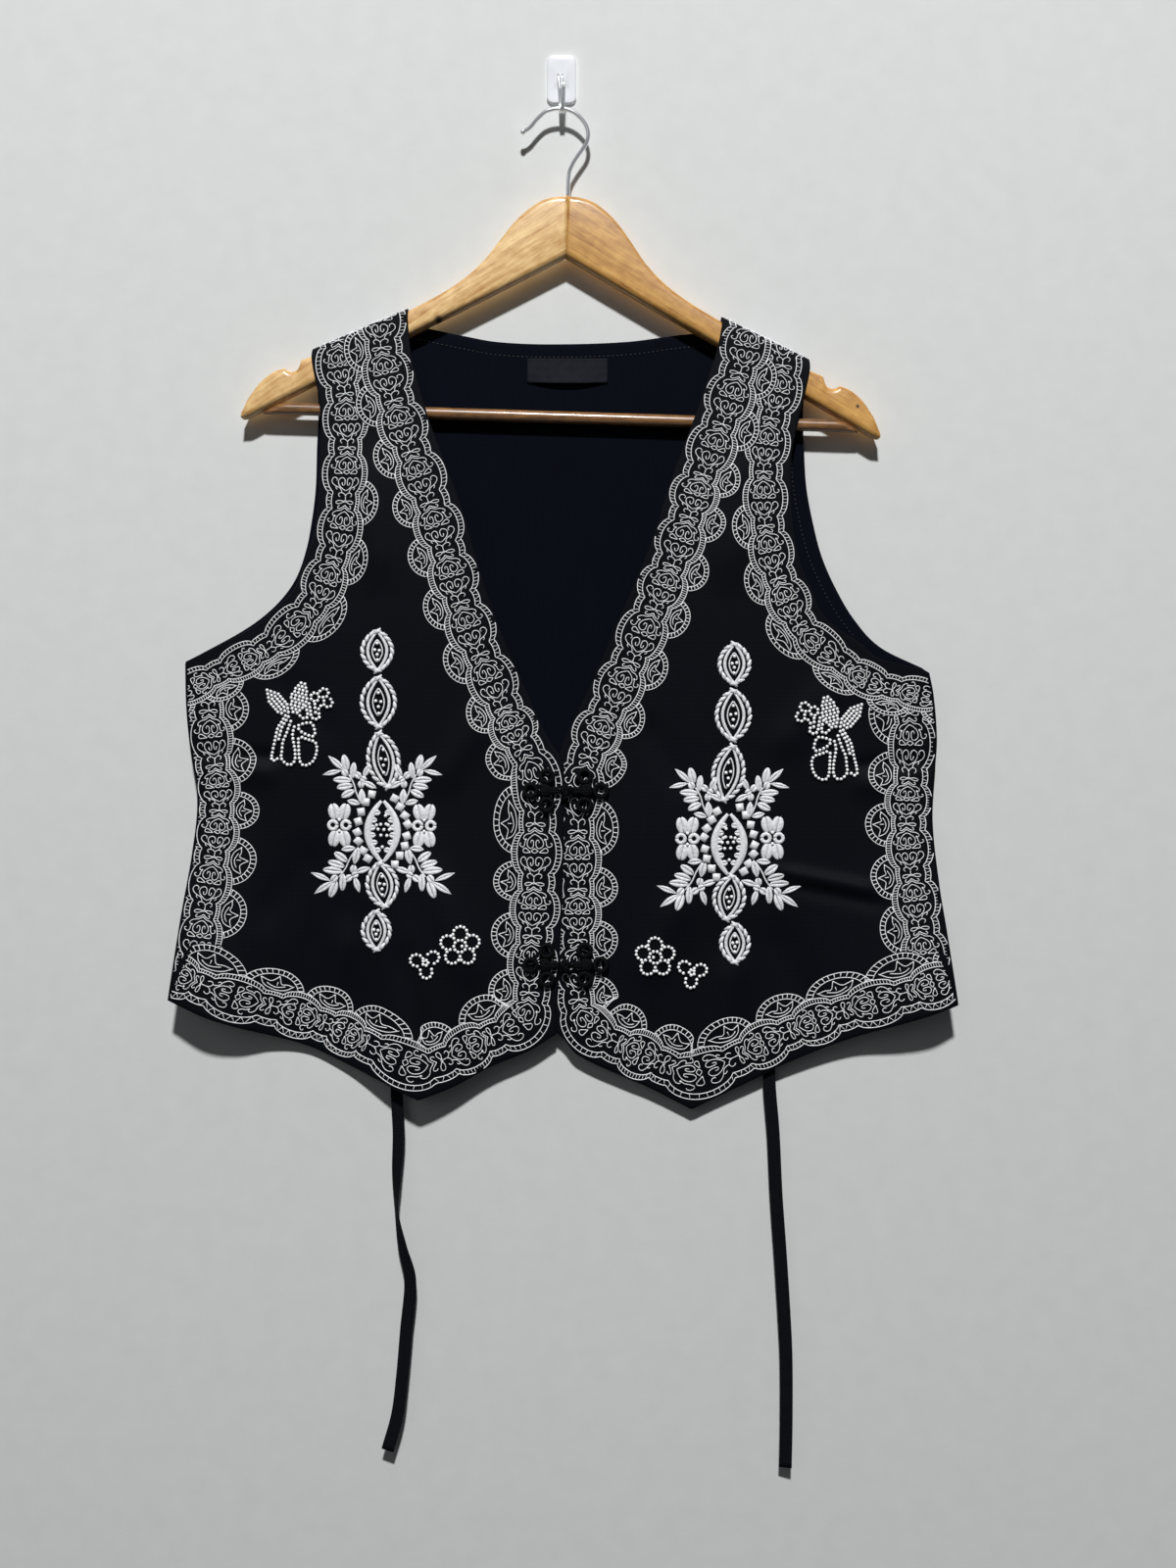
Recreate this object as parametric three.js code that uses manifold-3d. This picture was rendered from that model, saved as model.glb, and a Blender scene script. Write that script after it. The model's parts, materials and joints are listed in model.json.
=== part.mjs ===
// Embroidered waistcoat on a wooden clothes hanger, hung flat from a small adhesive wall hook.
// Millimetres, +Z up. The wall is the plane y = 0 and everything hangs on its -Y side, so the
// depth of a point is its distance from the wall, -y. Origin: centre of the wall pad's back face.
// Right and left in the names of the garment's pieces are the wearer's, so the right front is the
// one on the viewer's left.
import * as THREE from 'three';
import { mergeVertices } from 'three/addons/utils/BufferGeometryUtils.js';
import Module from 'manifold-3d';

const wasm = await Module();
wasm.setup();

// ---- driving dimensions ----
const CLOTH = 1.2; // wall of the fronts and the back
const SEAM_GAP = 0.3; // between pieces that meet
const HANGER_DEPTH = 10.5; // wall to the middle of the arms, the bar and the hook wire
const ARM_THICKNESS = 12;
const WRAP_RADIUS = ARM_THICKNESS / 2 + CLOTH / 2 + 0.8; // of the strap over an arm
const SETTLED_DEPTH = 11.5; // of the fronts below the hanger
const BACK_DEPTH = 3.5; // of the back, between the hanger and the wall
const SEAM_STEP = CLOTH + 0.5; // front to back at the side seams, middle to middle
const LAP_STEP = CLOTH + 0.5; // right front over left front at the centre, middle to middle
const LAP_REACH = 45; // width over which the lap flattens out
const TIE_WIDTH = 9;
const TIE_THICKNESS = 0.8;
const BAR_RADIUS = 4.25;
const HOOK_WIRE_RADIUS = 1.5;
const WALL_WIRE_RADIUS = 0.9;
const FROG_CORD_RADIUS = 1.9;
const PAD = { width: 21, height: 33.8, thickness: 3, corner: 4.5 };

// ---- finishes ----
const finish = (color, roughness, metalness = 0) =>
  new THREE.MeshStandardMaterial({ color, roughness, metalness });
const cotton = finish(0x0a0d17, 0.92);
const backCotton = finish(0x070b16, 0.95);
const labelWeave = finish(0x08090d, 0.7);
const frogCord = finish(0x050609, 0.6);
const tieTape = finish(0x07080c, 0.85);
const lotusWood = finish(0xc8994f, 0.38);
const barWood = finish(0xa9744a, 0.4);
const chrome = finish(0xd8dadc, 0.12, 1);
const whitePlastic = finish(0xf3f3f6, 0.3);

// ---- small maths ----
const lerp = (a, b, t) => a + (b - a) * t;
const smooth = (from, to, value) => THREE.MathUtils.smoothstep((value - from) / (to - from), 0, 1);
const evenly = (from, to, steps) =>
  Array.from({ length: steps + 1 }, (_, i) => lerp(from, to, i / steps));
const joined = (...runs) => runs.flatMap((run, i) => (i ? run.slice(1) : run));

// A smooth run through [key, value] points whose keys only rise or only fall.
function through(points) {
  const rising = points[0][0] < points.at(-1)[0] ? points : [...points].reverse();
  const slope = (i, j) => (rising[j][1] - rising[i][1]) / (rising[j][0] - rising[i][0]);
  const last = rising.length - 1;
  return (key) => {
    const next = rising.findIndex((p) => p[0] > key);
    const i = next < 0 ? last - 1 : Math.max(next - 1, 0);
    const span = rising[i + 1][0] - rising[i][0];
    const t = THREE.MathUtils.clamp((key - rising[i][0]) / span, 0, 1);
    const chord = slope(i, i + 1);
    const before = i > 0 ? slope(i - 1, i + 1) : chord;
    const after = i + 2 <= last ? slope(i, i + 2) : chord;
    const hermite = (2 * t ** 3 - 3 * t ** 2) * (rising[i][1] - rising[i + 1][1]) + rising[i][1];
    return hermite + span * ((t ** 3 - 2 * t ** 2 + t) * before + (t ** 3 - t ** 2) * after);
  };
}

// Runs with corners between them, chosen by key.
const cornered = (...runs) => {
  const parts = runs.map((points) => {
    const keys = points.map((p) => p[0]);
    return { low: Math.min(...keys), high: Math.max(...keys), at: through(points) };
  });
  return (key) => (parts.find((p) => key >= p.low && key <= p.high) ?? nearest(parts, key)).at(key);
};
const nearest = (parts, key) =>
  parts.reduce((a, b) => {
    const off = (p) => Math.max(p.low - key, key - p.high);
    return off(a) <= off(b) ? a : b;
  });

// ---- meshes ----
function indexed(points, triangles) {
  const geometry = new THREE.BufferGeometry();
  geometry.setAttribute('position', new THREE.Float32BufferAttribute(points.flatMap((p) => p.toArray()), 3));
  geometry.setIndex(triangles.flat());
  geometry.computeVertexNormals();
  return geometry;
}

// A wall of even thickness on a grid of middle points, rows from top to bottom and columns from
// left to right as the viewer sees them.
function wall(grid, thickness) {
  const rows = grid.length;
  const columns = grid[0].length;
  const difference = (a, b) => new THREE.Vector3().subVectors(a, b);
  const side = (sign) =>
    grid.flatMap((row, r) =>
      row.map((point, c) => {
        const down = difference(grid[Math.min(r + 1, rows - 1)][c], grid[Math.max(r - 1, 0)][c]);
        const across = difference(row[Math.min(c + 1, columns - 1)], row[Math.max(c - 1, 0)]);
        return down.cross(across).setLength((sign * thickness) / 2).add(point);
      }),
    );
  const back = rows * columns;
  const at = (r, c) => r * columns + c;
  const triangles = [];
  const quad = (a, b, c, d) => triangles.push([a, b, c], [a, c, d]);
  for (let r = 0; r + 1 < rows; r += 1) {
    for (let c = 0; c + 1 < columns; c += 1) {
      const [p, q, s, t] = [at(r, c), at(r + 1, c), at(r + 1, c + 1), at(r, c + 1)];
      quad(p, q, s, t);
      quad(back + t, back + s, back + q, back + p);
    }
    const [high, low] = [at(r, columns - 1), at(r + 1, columns - 1)];
    quad(at(r + 1, 0), at(r, 0), back + at(r, 0), back + at(r + 1, 0));
    quad(high, low, back + low, back + high);
  }
  for (let c = 0; c + 1 < columns; c += 1) {
    quad(at(0, c), at(0, c + 1), back + at(0, c + 1), back + at(0, c));
    quad(at(rows - 1, c + 1), at(rows - 1, c), back + at(rows - 1, c), back + at(rows - 1, c + 1));
  }
  return indexed([...side(1), ...side(-1)], triangles);
}

// A closed loft through rings with the same number of points, each ring turning anticlockwise
// as seen from the end that the rings run towards.
function loft(rings) {
  const n = rings[0].length;
  const points = rings.flat();
  const triangles = [];
  for (let r = 0; r + 1 < rings.length; r += 1) {
    for (let i = 0; i < n; i += 1) {
      const [a, b] = [r * n + i, r * n + ((i + 1) % n)];
      triangles.push([a, b, b + n], [a, b + n, a + n]);
    }
  }
  const last = (rings.length - 1) * n;
  for (let i = 1; i + 1 < n; i += 1) {
    triangles.push([0, i + 1, i], [last, last + i, last + i + 1]);
  }
  return indexed(points, triangles);
}

// A wire of eight sides along a smooth run through points.
function rod(points, radius, steps) {
  const section = new THREE.Shape();
  section.absarc(0, 0, radius, 0, Math.PI * 2);
  const path = new THREE.CatmullRomCurve3(points);
  return new THREE.ExtrudeGeometry(section, { steps, curveSegments: 4, extrudePath: path });
}

function solid(geometry) {
  const bare = geometry.clone();
  bare.deleteAttribute('normal');
  bare.deleteAttribute('uv');
  const merged = mergeVertices(bare, 1e-4);
  return new wasm.Manifold(
    new wasm.Mesh({
      numProp: 3,
      vertProperties: new Float32Array(merged.attributes.position.array),
      triVerts: new Uint32Array(merged.index.array),
    }),
  );
}

function union(geometries) {
  const mesh = geometries.map(solid).reduce((a, b) => a.add(b)).getMesh();
  const geometry = new THREE.BufferGeometry();
  geometry.setAttribute('position', new THREE.BufferAttribute(mesh.vertProperties, 3));
  geometry.setIndex(new THREE.BufferAttribute(mesh.triVerts, 1));
  geometry.computeVertexNormals();
  return geometry;
}

const group = new THREE.Group();
function add(name, geometry, material) {
  const mesh = new THREE.Mesh(geometry, material);
  mesh.name = name;
  group.add(mesh);
}

// A point of the hung object from its place across, its depth from the wall and its height.
const hung = (x, depth, z) => new THREE.Vector3(x, -depth, z);

// ---- how the cloth hangs ----
// Depth of the hem line from one side seam to the other: it stands out at the seams and swings
// back to the wall between them.
const hemDepth = through([
  [-274, 24], [-252, 27], [-229, 21.5], [-206, 11.5], [-181, 6], [-150, 7.5], [-105, 19], [-60, 14.5],
  [0, 11], [50, 9], [92, 8], [150, 9.5], [205, 13.5], [240, 21.5], [262, 25], [277, 23],
]);
const hemSway = (z) => smooth(-500, -690, z);

function frontDepth(x, z) {
  const settled = lerp(HANGER_DEPTH + WRAP_RADIUS, SETTLED_DEPTH, smooth(-250, -520, z));
  return lerp(settled, hemDepth(x), hemSway(z));
}

function backDepth(x, z) {
  const dip = 1.2 * Math.exp(-(((x + 165) / 35) ** 2)) * hemSway(z);
  const towardsSeam = smooth(190, 262, Math.abs(x)) * smooth(-330, -415, z);
  return lerp(BACK_DEPTH - dip, frontDepth(x, z) - SEAM_STEP, towardsSeam);
}

const lapOver = (x) => (LAP_STEP / 2) * (1 - smooth(0, LAP_REACH, Math.abs(x)));

// ---- fronts ----
// Outlines are given as x for each height. The underarm corner and the foot of the V neck are
// corners, and so is the pointed tip of the hem.
const rightFront = {
  edges: [
    cornered(
      [[-195, -174.5], [-232, -169], [-262, -168], [-307, -170], [-326, -173], [-344, -179],
        [-364, -187], [-377.5, -200], [-390.5, -215.5], [-399.5, -233], [-415, -264]],
      [[-415, -264], [-447, -263.5], [-475, -261], [-512, -256], [-549, -259], [-594, -266],
        [-651.5, -274]],
    ),
    cornered(
      [[-166.6, -108], [-188, -106.5], [-207, -104], [-247, -92.5], [-304, -71.5], [-366, -53],
        [-397, -41.5], [-434, -25.5], [-464, -12], [-486, 1.5]],
      [[-486, 1.5], [-560, 1], [-677, -4]],
    ),
  ],
  tops: [-195, -166.6],
  bottoms: [-651.5, -677],
  corners: [-415, -486],
  hem: cornered(
    [[-274, -651.5], [-245.5, -664], [-223, -672], [-178.5, -686], [-161, -694], [-100, -722]],
    [[-100, -722], [-74.5, -712.5], [-50, -699.5], [-22, -688], [-4, -677]],
  ),
  tip: -100,
  lap: lapOver,
};

const leftFront = {
  edges: [
    cornered(
      [[-172.3, 113], [-195, 109], [-213, 104], [-234, 97.5], [-289, 77], [-327, 65], [-360, 52],
        [-391, 38.5], [-430, 21.5], [-460, 7], [-480, -1], [-511, -8]],
      [[-511, -8], [-673, -8]],
    ),
    cornered(
      [[-202, 174], [-229, 169], [-269, 161], [-292, 160], [-316, 161], [-339, 165], [-360, 173],
        [-385, 186], [-403, 211], [-413, 224], [-421, 258]],
      [[-421, 258], [-438, 261.5], [-468, 264], [-490, 263], [-527, 261], [-572, 265],
        [-603, 269.5], [-655, 277]],
    ),
  ],
  tops: [-172.3, -202],
  bottoms: [-673, -655],
  corners: [-511, -421],
  hem: cornered(
    [[-8, -673], [0.5, -679], [10.5, -691], [46, -708], [61, -714.5], [92, -730.5]],
    [[92, -730.5], [107, -723], [138, -708], [153, -700], [199, -681], [252, -664], [277, -655]],
  ),
  tip: 92,
  lap: (x) => -lapOver(x),
};

// Rows run across the panel from one edge to the other. The lowest rows bend down to the hem, and
// above the top row the strap turns over the hanger arm to the shoulder seam behind it.
function frontGrid(front) {
  const [tops, bottoms, corners] = [front.tops, front.bottoms, front.corners];
  const share = (side) => (corners[side] - tops[side]) / (bottoms[side] - tops[side]);
  const [first, second] = [share(0), share(1)].sort((a, b) => a - b);
  const shares = joined(evenly(0, first, 8), evenly(first, second, 3), evenly(second, 1, 9));
  const reach = (side) => front.edges[side](bottoms[side]);
  const tipShare = (front.tip - reach(0)) / (reach(1) - reach(0));
  const across = joined(evenly(0, tipShare, 7), evenly(tipShare, 1, 7));
  const rows = shares.map((share) =>
    across.map((u) => {
      const heights = tops.map((top, side) => lerp(top, bottoms[side], share));
      const x = lerp(front.edges[0](heights[0]), front.edges[1](heights[1]), u);
      const level = lerp(heights[0], heights[1], u);
      const hemX = lerp(reach(0), reach(1), u);
      const drop = front.hem(hemX) - lerp(bottoms[0], bottoms[1], u);
      const z = level + drop * smooth(0.72, 1, share) - WRAP_RADIUS * (1 - smooth(0, 0.1, share));
      return hung(x, frontDepth(x, z) + front.lap(x), z);
    }),
  );
  const turns = evenly(Math.PI, 0, 6).slice(0, -1);
  const wrap = turns.map((angle) =>
    rows[0].map((p) =>
      hung(p.x, HANGER_DEPTH + WRAP_RADIUS * Math.cos(angle), p.z + WRAP_RADIUS * Math.sin(angle)),
    ),
  );
  return [...wrap, ...rows];
}

add('front_right', wall(frontGrid(rightFront), CLOTH), cotton);
add('front_left', wall(frontGrid(leftFront), CLOTH), cotton);

// ---- back ----
// One piece from side seam to side seam, with a shallow neckline, hanging behind the arms.
const backEdges = [
  cornered(
    [[-203, -174], [-234, -172], [-262, -173], [-292, -174], [-316, -177], [-336, -181],
      [-357, -189], [-375, -203], [-392, -224], [-415, -263.5]],
    [[-415, -263.5], [-447, -263], [-475, -260.5], [-512, -255.5], [-549, -258.5],
      [-594, -265.5], [-651.5, -273.5]],
  ),
  cornered(
    [[-210, 174], [-234, 171], [-272, 172], [-292, 173.5], [-316, 178], [-339, 184],
      [-361, 193.5], [-385, 207.5], [-405, 226], [-421, 257.5]],
    [[-421, 257.5], [-438, 261], [-468, 263.5], [-490, 262.5], [-527, 260.5], [-572, 264.5],
      [-603, 269], [-655, 276.5]],
  ),
];
const backTops = [-203, -210];
const backBottoms = [-651.5, -655];
const necklineEnds = [-108, 113];
const backTop = cornered(
  [[-174, -203], [-108, -175]],
  [[-108, -175], [-89, -179.3], [-69, -183.5], [-46, -187.6], [-9, -189.3], [46, -187.6],
    [87, -182.4], [113, -180.8]],
  [[113, -180.8], [174, -210]],
);

function backGrid() {
  const corner = (side, height) => (height - backTops[side]) / (backBottoms[side] - backTops[side]);
  const underarm = corner(0, -415);
  const shares = joined(evenly(0, underarm, 9), evenly(underarm, 1, 9));
  const width = backEdges[1](backTops[1]) - backEdges[0](backTops[0]);
  const neck = necklineEnds.map((x) => (x - backEdges[0](backTops[0])) / width);
  const across = joined(evenly(0, neck[0], 4), evenly(neck[0], neck[1], 9), evenly(neck[1], 1, 4));
  return shares.map((share) =>
    across.map((u) => {
      const heights = backTops.map((top, side) => lerp(top, backBottoms[side], share));
      const x = lerp(backEdges[0](heights[0]), backEdges[1](heights[1]), u);
      const level = lerp(heights[0], heights[1], u);
      const topX = lerp(backEdges[0](backTops[0]), backEdges[1](backTops[1]), u);
      const rise = backTop(topX) - lerp(backTops[0], backTops[1], u);
      const z = level + rise * (1 - smooth(0, 0.35, share));
      return hung(x, backDepth(x, z), z);
    }),
  );
}

add('back', wall(backGrid(), CLOTH), backCotton);

// ---- neck label ----
// A blank folded label sewn along its top to the inside of the back, its foot lifting a little.
const LABEL = { left: -24, right: 32.5, top: -199.6, height: 16.5, wall: 1, lift: 3 };

function labelGrid() {
  const start = BACK_DEPTH + CLOTH / 2 + SEAM_GAP + LABEL.wall / 2;
  return evenly(0, 1, 4).map((v) =>
    evenly(0, 1, 8).map((u) => {
      const bow = LABEL.lift * v * v * Math.sin(Math.PI * u);
      const x = lerp(LABEL.left, LABEL.right, u);
      return hung(x, start + bow, LABEL.top - LABEL.height * v - 0.4 * bow);
    }),
  );
}

add('neck_label', wall(labelGrid(), LABEL.wall), labelWeave);

// ---- waist ties ----
// Flat tapes sewn to the outside of the back at the waist. They hang free, each step giving
// x, depth, height and the turn of the tape's width about its length in degrees.
const tieRight = [
  [-108, 2, -566, 0], [-109, 2, -600, 0], [-112, 2, -650, 0], [-115, 4.5, -690, 5],
  [-116.5, 6.5, -717, 10], [-115.1, 7.5, -748, 15], [-116.5, 8, -776, 40], [-116.5, 8.5, -801, 68],
  [-112.4, 8.5, -827, 40], [-106.8, 8, -852, 14], [-109.6, 8, -886, 8], [-112.4, 8.5, -918, 14],
  [-115.8, 9, -946, 10], [-122.8, 9, -971.3, 4],
];
const tieLeft = [
  [140, 2, -566, 0], [142, 2, -600, 0], [145, 2, -650, 0], [146.5, 4, -690, 0],
  [147.5, 5.5, -717, 4], [150, 6, -748, 8], [152, 6.5, -791, 12], [154.9, 7, -833, 10],
  [157.6, 7, -876, 6], [159, 7, -908, 4], [159, 7.5, -950, 8], [158.3, 8, -983.8, 12],
];

function tape(stations, steps) {
  const path = new THREE.CatmullRomCurve3(stations.map(([x, depth, z]) => hung(x, depth, z)));
  const rings = evenly(0, 1, steps).map((t) => {
    const place = path.getPoint(t);
    const along = path.getTangent(t);
    const key = t * (stations.length - 1);
    const i = Math.min(Math.floor(key), stations.length - 2);
    const turn = THREE.MathUtils.degToRad(lerp(stations[i][3], stations[i + 1][3], key - i));
    const flat = new THREE.Vector3(1, 0, 0).projectOnPlane(along).normalize();
    const wide = flat.applyAxisAngle(along, turn).multiplyScalar(TIE_WIDTH / 2);
    const thick = new THREE.Vector3().crossVectors(along, wide).setLength(TIE_THICKNESS / 2);
    return [[1, 1], [-1, 1], [-1, -1], [1, -1]].map(([w, n]) =>
      place.clone().addScaledVector(wide, w).addScaledVector(thick, n),
    );
  });
  return loft(rings);
}

add('tie_right', tape(tieRight, 52), tieTape);
add('tie_left', tape(tieLeft, 44), tieTape);

// ---- frog closures ----
// Each side of a frog is a clover of three cord loops, and a knot button joins the two sides.
const FROG = {
  centreX: 3.2, cloverReach: 14.5, loopReach: 9.2, loopRadius: 4.2, heartRadius: 4.8, knotRadius: 4.6,
};
const frogHeights = { upper: -505.5, lower: -628 };

// Depth of the middle of a cord that rests on the fronts around the given place.
function restingDepth(x, z, halfWidth, halfHeight, radius) {
  const around = [-1, 0, 1].flatMap((i) =>
    [-1, 0, 1].map((j) => {
      const at = [x + i * halfWidth, z + j * halfHeight];
      return frontDepth(...at) + (at[0] < 3 ? lapOver(at[0]) : 0);
    }),
  );
  return Math.max(...around) + CLOTH / 2 + SEAM_GAP + radius;
}

function clover(sign, height) {
  const x = FROG.centreX + sign * FROG.cloverReach;
  const reach = FROG.loopReach + FROG.loopRadius;
  const depth = restingDepth(x, height, reach, reach, FROG_CORD_RADIUS);
  const loops = [0, 97, -97].map((degrees) => {
    const angle = THREE.MathUtils.degToRad(degrees) + (sign < 0 ? Math.PI : 0);
    const ring = new THREE.TorusGeometry(FROG.loopRadius, FROG_CORD_RADIUS, 5, 10);
    ring.rotateX(Math.PI / 2);
    const [dx, dz] = [Math.cos(angle), Math.sin(angle)].map((v) => v * FROG.loopReach);
    return ring.translate(x + dx, -depth, height + dz);
  });
  const heart = new THREE.SphereGeometry(FROG.heartRadius, 8, 4);
  heart.scale(1, FROG_CORD_RADIUS / FROG.heartRadius, 1);
  heart.translate(x, -depth, height);
  const inner = FROG.knotRadius + SEAM_GAP + 0.4;
  const bar = new THREE.CylinderGeometry(FROG_CORD_RADIUS, FROG_CORD_RADIUS, FROG.cloverReach - inner, 8);
  bar.rotateZ(Math.PI / 2);
  bar.translate(x - (sign * (FROG.cloverReach - inner)) / 2, -depth, height);
  return union([...loops, heart, bar]);
}

for (const [level, height] of Object.entries(frogHeights)) {
  add(`frog_${level}_right`, clover(-1, height), frogCord);
  add(`frog_${level}_left`, clover(1, height), frogCord);
  const knot = new THREE.SphereGeometry(FROG.knotRadius, 12, 8);
  const depth = restingDepth(FROG.centreX, height, FROG.knotRadius, FROG.knotRadius, FROG.knotRadius);
  add(`frog_${level}_knot`, knot.translate(FROG.centreX, -depth, height), frogCord);
}

// ---- hanger ----
// One arm's outline from the joint outwards: reach, top and underside, measured from the apex
// square to the hanger, which hangs turned a little about it.
const HANGER_APEX = { x: 4.6, z: -87 };
const HANGER_TILT = THREE.MathUtils.degToRad(1.8); // lower on the viewer's right
const armOutline = [
  [0.15, 0, -43.5], [10, -0.9, -49], [20, -4.6, -54.6], [31.6, -13.6, -61], [40, -23, -65.6],
  [46.2, -31.5, -69], [56.2, -45.3, -74.3], [68.7, -58, -81.2], [82.8, -68.6, -88.7],
  [96, -76.6, -95.6], [112, -85.5, -104.4], [145, -102.6, -122.4], [174.6, -117.5, -139],
  [183.5, -121, -143.8], [185.5, -126, -144.9], [188.5, -129, -146.6], [192.3, -129.2, -148.6],
  [195.5, -127.4, -150.3], [202.5, -129.8, -154], [211.5, -137, -158.9], [217.5, -145, -162.3],
  [221, -150.5, -163.6], [223.3, -156, -163.9], [224.8, -160.6, -163.2],
];
const ARM_CORNER = 5.2; // round of the arms' long edges

// Turns a point of the upright hanger into its hung place.
function tilted(x, y, z) {
  const [c, s] = [Math.cos(HANGER_TILT), Math.sin(HANGER_TILT)];
  return new THREE.Vector3(HANGER_APEX.x + x * c + z * s, y, HANGER_APEX.z + z * c - x * s);
}

// An arm is a loft of rounded sections square to its reach.
function arm(sign) {
  const rings = armOutline.map(([reach, top, foot], station) => {
    const halfHeight = (top - foot) / 2;
    const taper = station < armOutline.length - 3 ? 1 : 0.92 - 0.2 * (station - armOutline.length + 3);
    const halfThickness = (ARM_THICKNESS / 2) * taper;
    const corner = Math.min(ARM_CORNER, halfHeight * 0.9, halfThickness * 0.9);
    const ring = [[1, 1], [-1, 1], [-1, -1], [1, -1]].flatMap(([sy, sz], quarter) =>
      evenly(0, 90, 3).map((degrees) => {
        const angle = THREE.MathUtils.degToRad(degrees + quarter * 90);
        const y = sy * (halfThickness - corner) + corner * Math.cos(angle);
        const z = sz * (halfHeight - corner) + corner * Math.sin(angle);
        return tilted(sign * reach, -HANGER_DEPTH + y, (top + foot) / 2 + z);
      }),
    );
    return sign > 0 ? ring : ring.reverse();
  });
  return loft(rings);
}

add('hanger_arm_right', arm(1), lotusWood);
add('hanger_arm_left', arm(-1), lotusWood);

// The trouser bar runs between the arms' undersides, its ends cut to their slope.
const BAR = { height: -155.4, reach: 203, endSlope: 0.55 };

function trouserBar() {
  const rings = [-1, -0.5, 0, 0.5, 1].map((share) =>
    evenly(0, 330, 11).map((degrees) => {
      const angle = THREE.MathUtils.degToRad(degrees);
      const [y, z] = [BAR_RADIUS * Math.cos(angle), BAR_RADIUS * Math.sin(angle)];
      const x = share * (BAR.reach - z / BAR.endSlope - 0.8);
      return tilted(x, -HANGER_DEPTH + y, BAR.height + z);
    }),
  );
  return loft(rings);
}

add('hanger_bar', trouserBar(), barWood);

// ---- hanger hook ----
// Wire from the apex of the arms up and round to a small ball tip.
const hookPath = [
  [4.6, -86.6], [4.7, -80], [5, -74], [5.7, -69], [8.2, -63.3], [11.7, -57.7], [15.3, -52.7],
  [18.1, -47.8], [19, -42.9], [18.1, -37.9], [15.3, -33], [11, -28.7], [6.1, -25.9], [0.5, -24.5],
  [-5.2, -24.8], [-10.9, -26.6], [-15, -29.8], [-18.6, -33.7], [-22.1, -37.9], [-26.6, -40.9],
];
const hookWire = rod(hookPath.map(([x, z]) => hung(x, HANGER_DEPTH, z)), HOOK_WIRE_RADIUS, 46);
const hookBall = new THREE.SphereGeometry(2.1, 10, 8).translate(-27, -HANGER_DEPTH, -41.1);
add('hanger_hook', union([hookWire, hookBall]), chrome);

// ---- wall pad and its wire hook ----
function pad() {
  const [w, h, r] = [PAD.width / 2, PAD.height / 2, PAD.corner];
  const outline = new THREE.Shape();
  outline.moveTo(-w + r, -h);
  outline.lineTo(w - r, -h).absarc(w - r, -h + r, r, -Math.PI / 2, 0);
  outline.lineTo(w, h - r).absarc(w - r, h - r, r, 0, Math.PI / 2);
  outline.lineTo(-w + r, h).absarc(-w + r, h - r, r, Math.PI / 2, Math.PI);
  outline.lineTo(-w, -h + r).absarc(-w + r, -h + r, r, Math.PI, Math.PI * 1.5);
  const plate = new THREE.ExtrudeGeometry(outline, {
    depth: PAD.thickness, bevelEnabled: false, curveSegments: 4,
  });
  return plate.rotateX(Math.PI / 2);
}

add('wall_pad', pad(), whitePlastic);

// The wire leaves the pad, runs down, turns forward under the hanger's wire and up to its tip.
const wallHookPath = [
  [-0.8, PAD.thickness + SEAM_GAP, 2.4], [-0.8, 4.2, 2.3], [-0.8, 5.1, 1], [-0.8, 5.6, -12],
  [-0.2, 6, -20], [0, 7.4, -25], [0.3, 10.5, -27.4], [0.8, 13.8, -25], [1.2, 15.2, -20],
  [1.4, 15.4, -13], [1.5, 15, -7.8],
];
const wallHook = rod(wallHookPath.map(([x, depth, z]) => hung(x, depth, z)), WALL_WIRE_RADIUS, 34);
add('wall_hook', wallHook, chrome);

export default group;
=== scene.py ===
"""Looks of an embroidered waistcoat on a wooden clothes hanger, hung flat from a small wall hook.

Lengths are millimetres until a mesh is made, and metres in Blender. The wall is the plane y = 0, the
depth of a point is its distance from the wall, and right and left in names are the wearer's, except
on the hanger, where they are the viewer's.
"""

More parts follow.
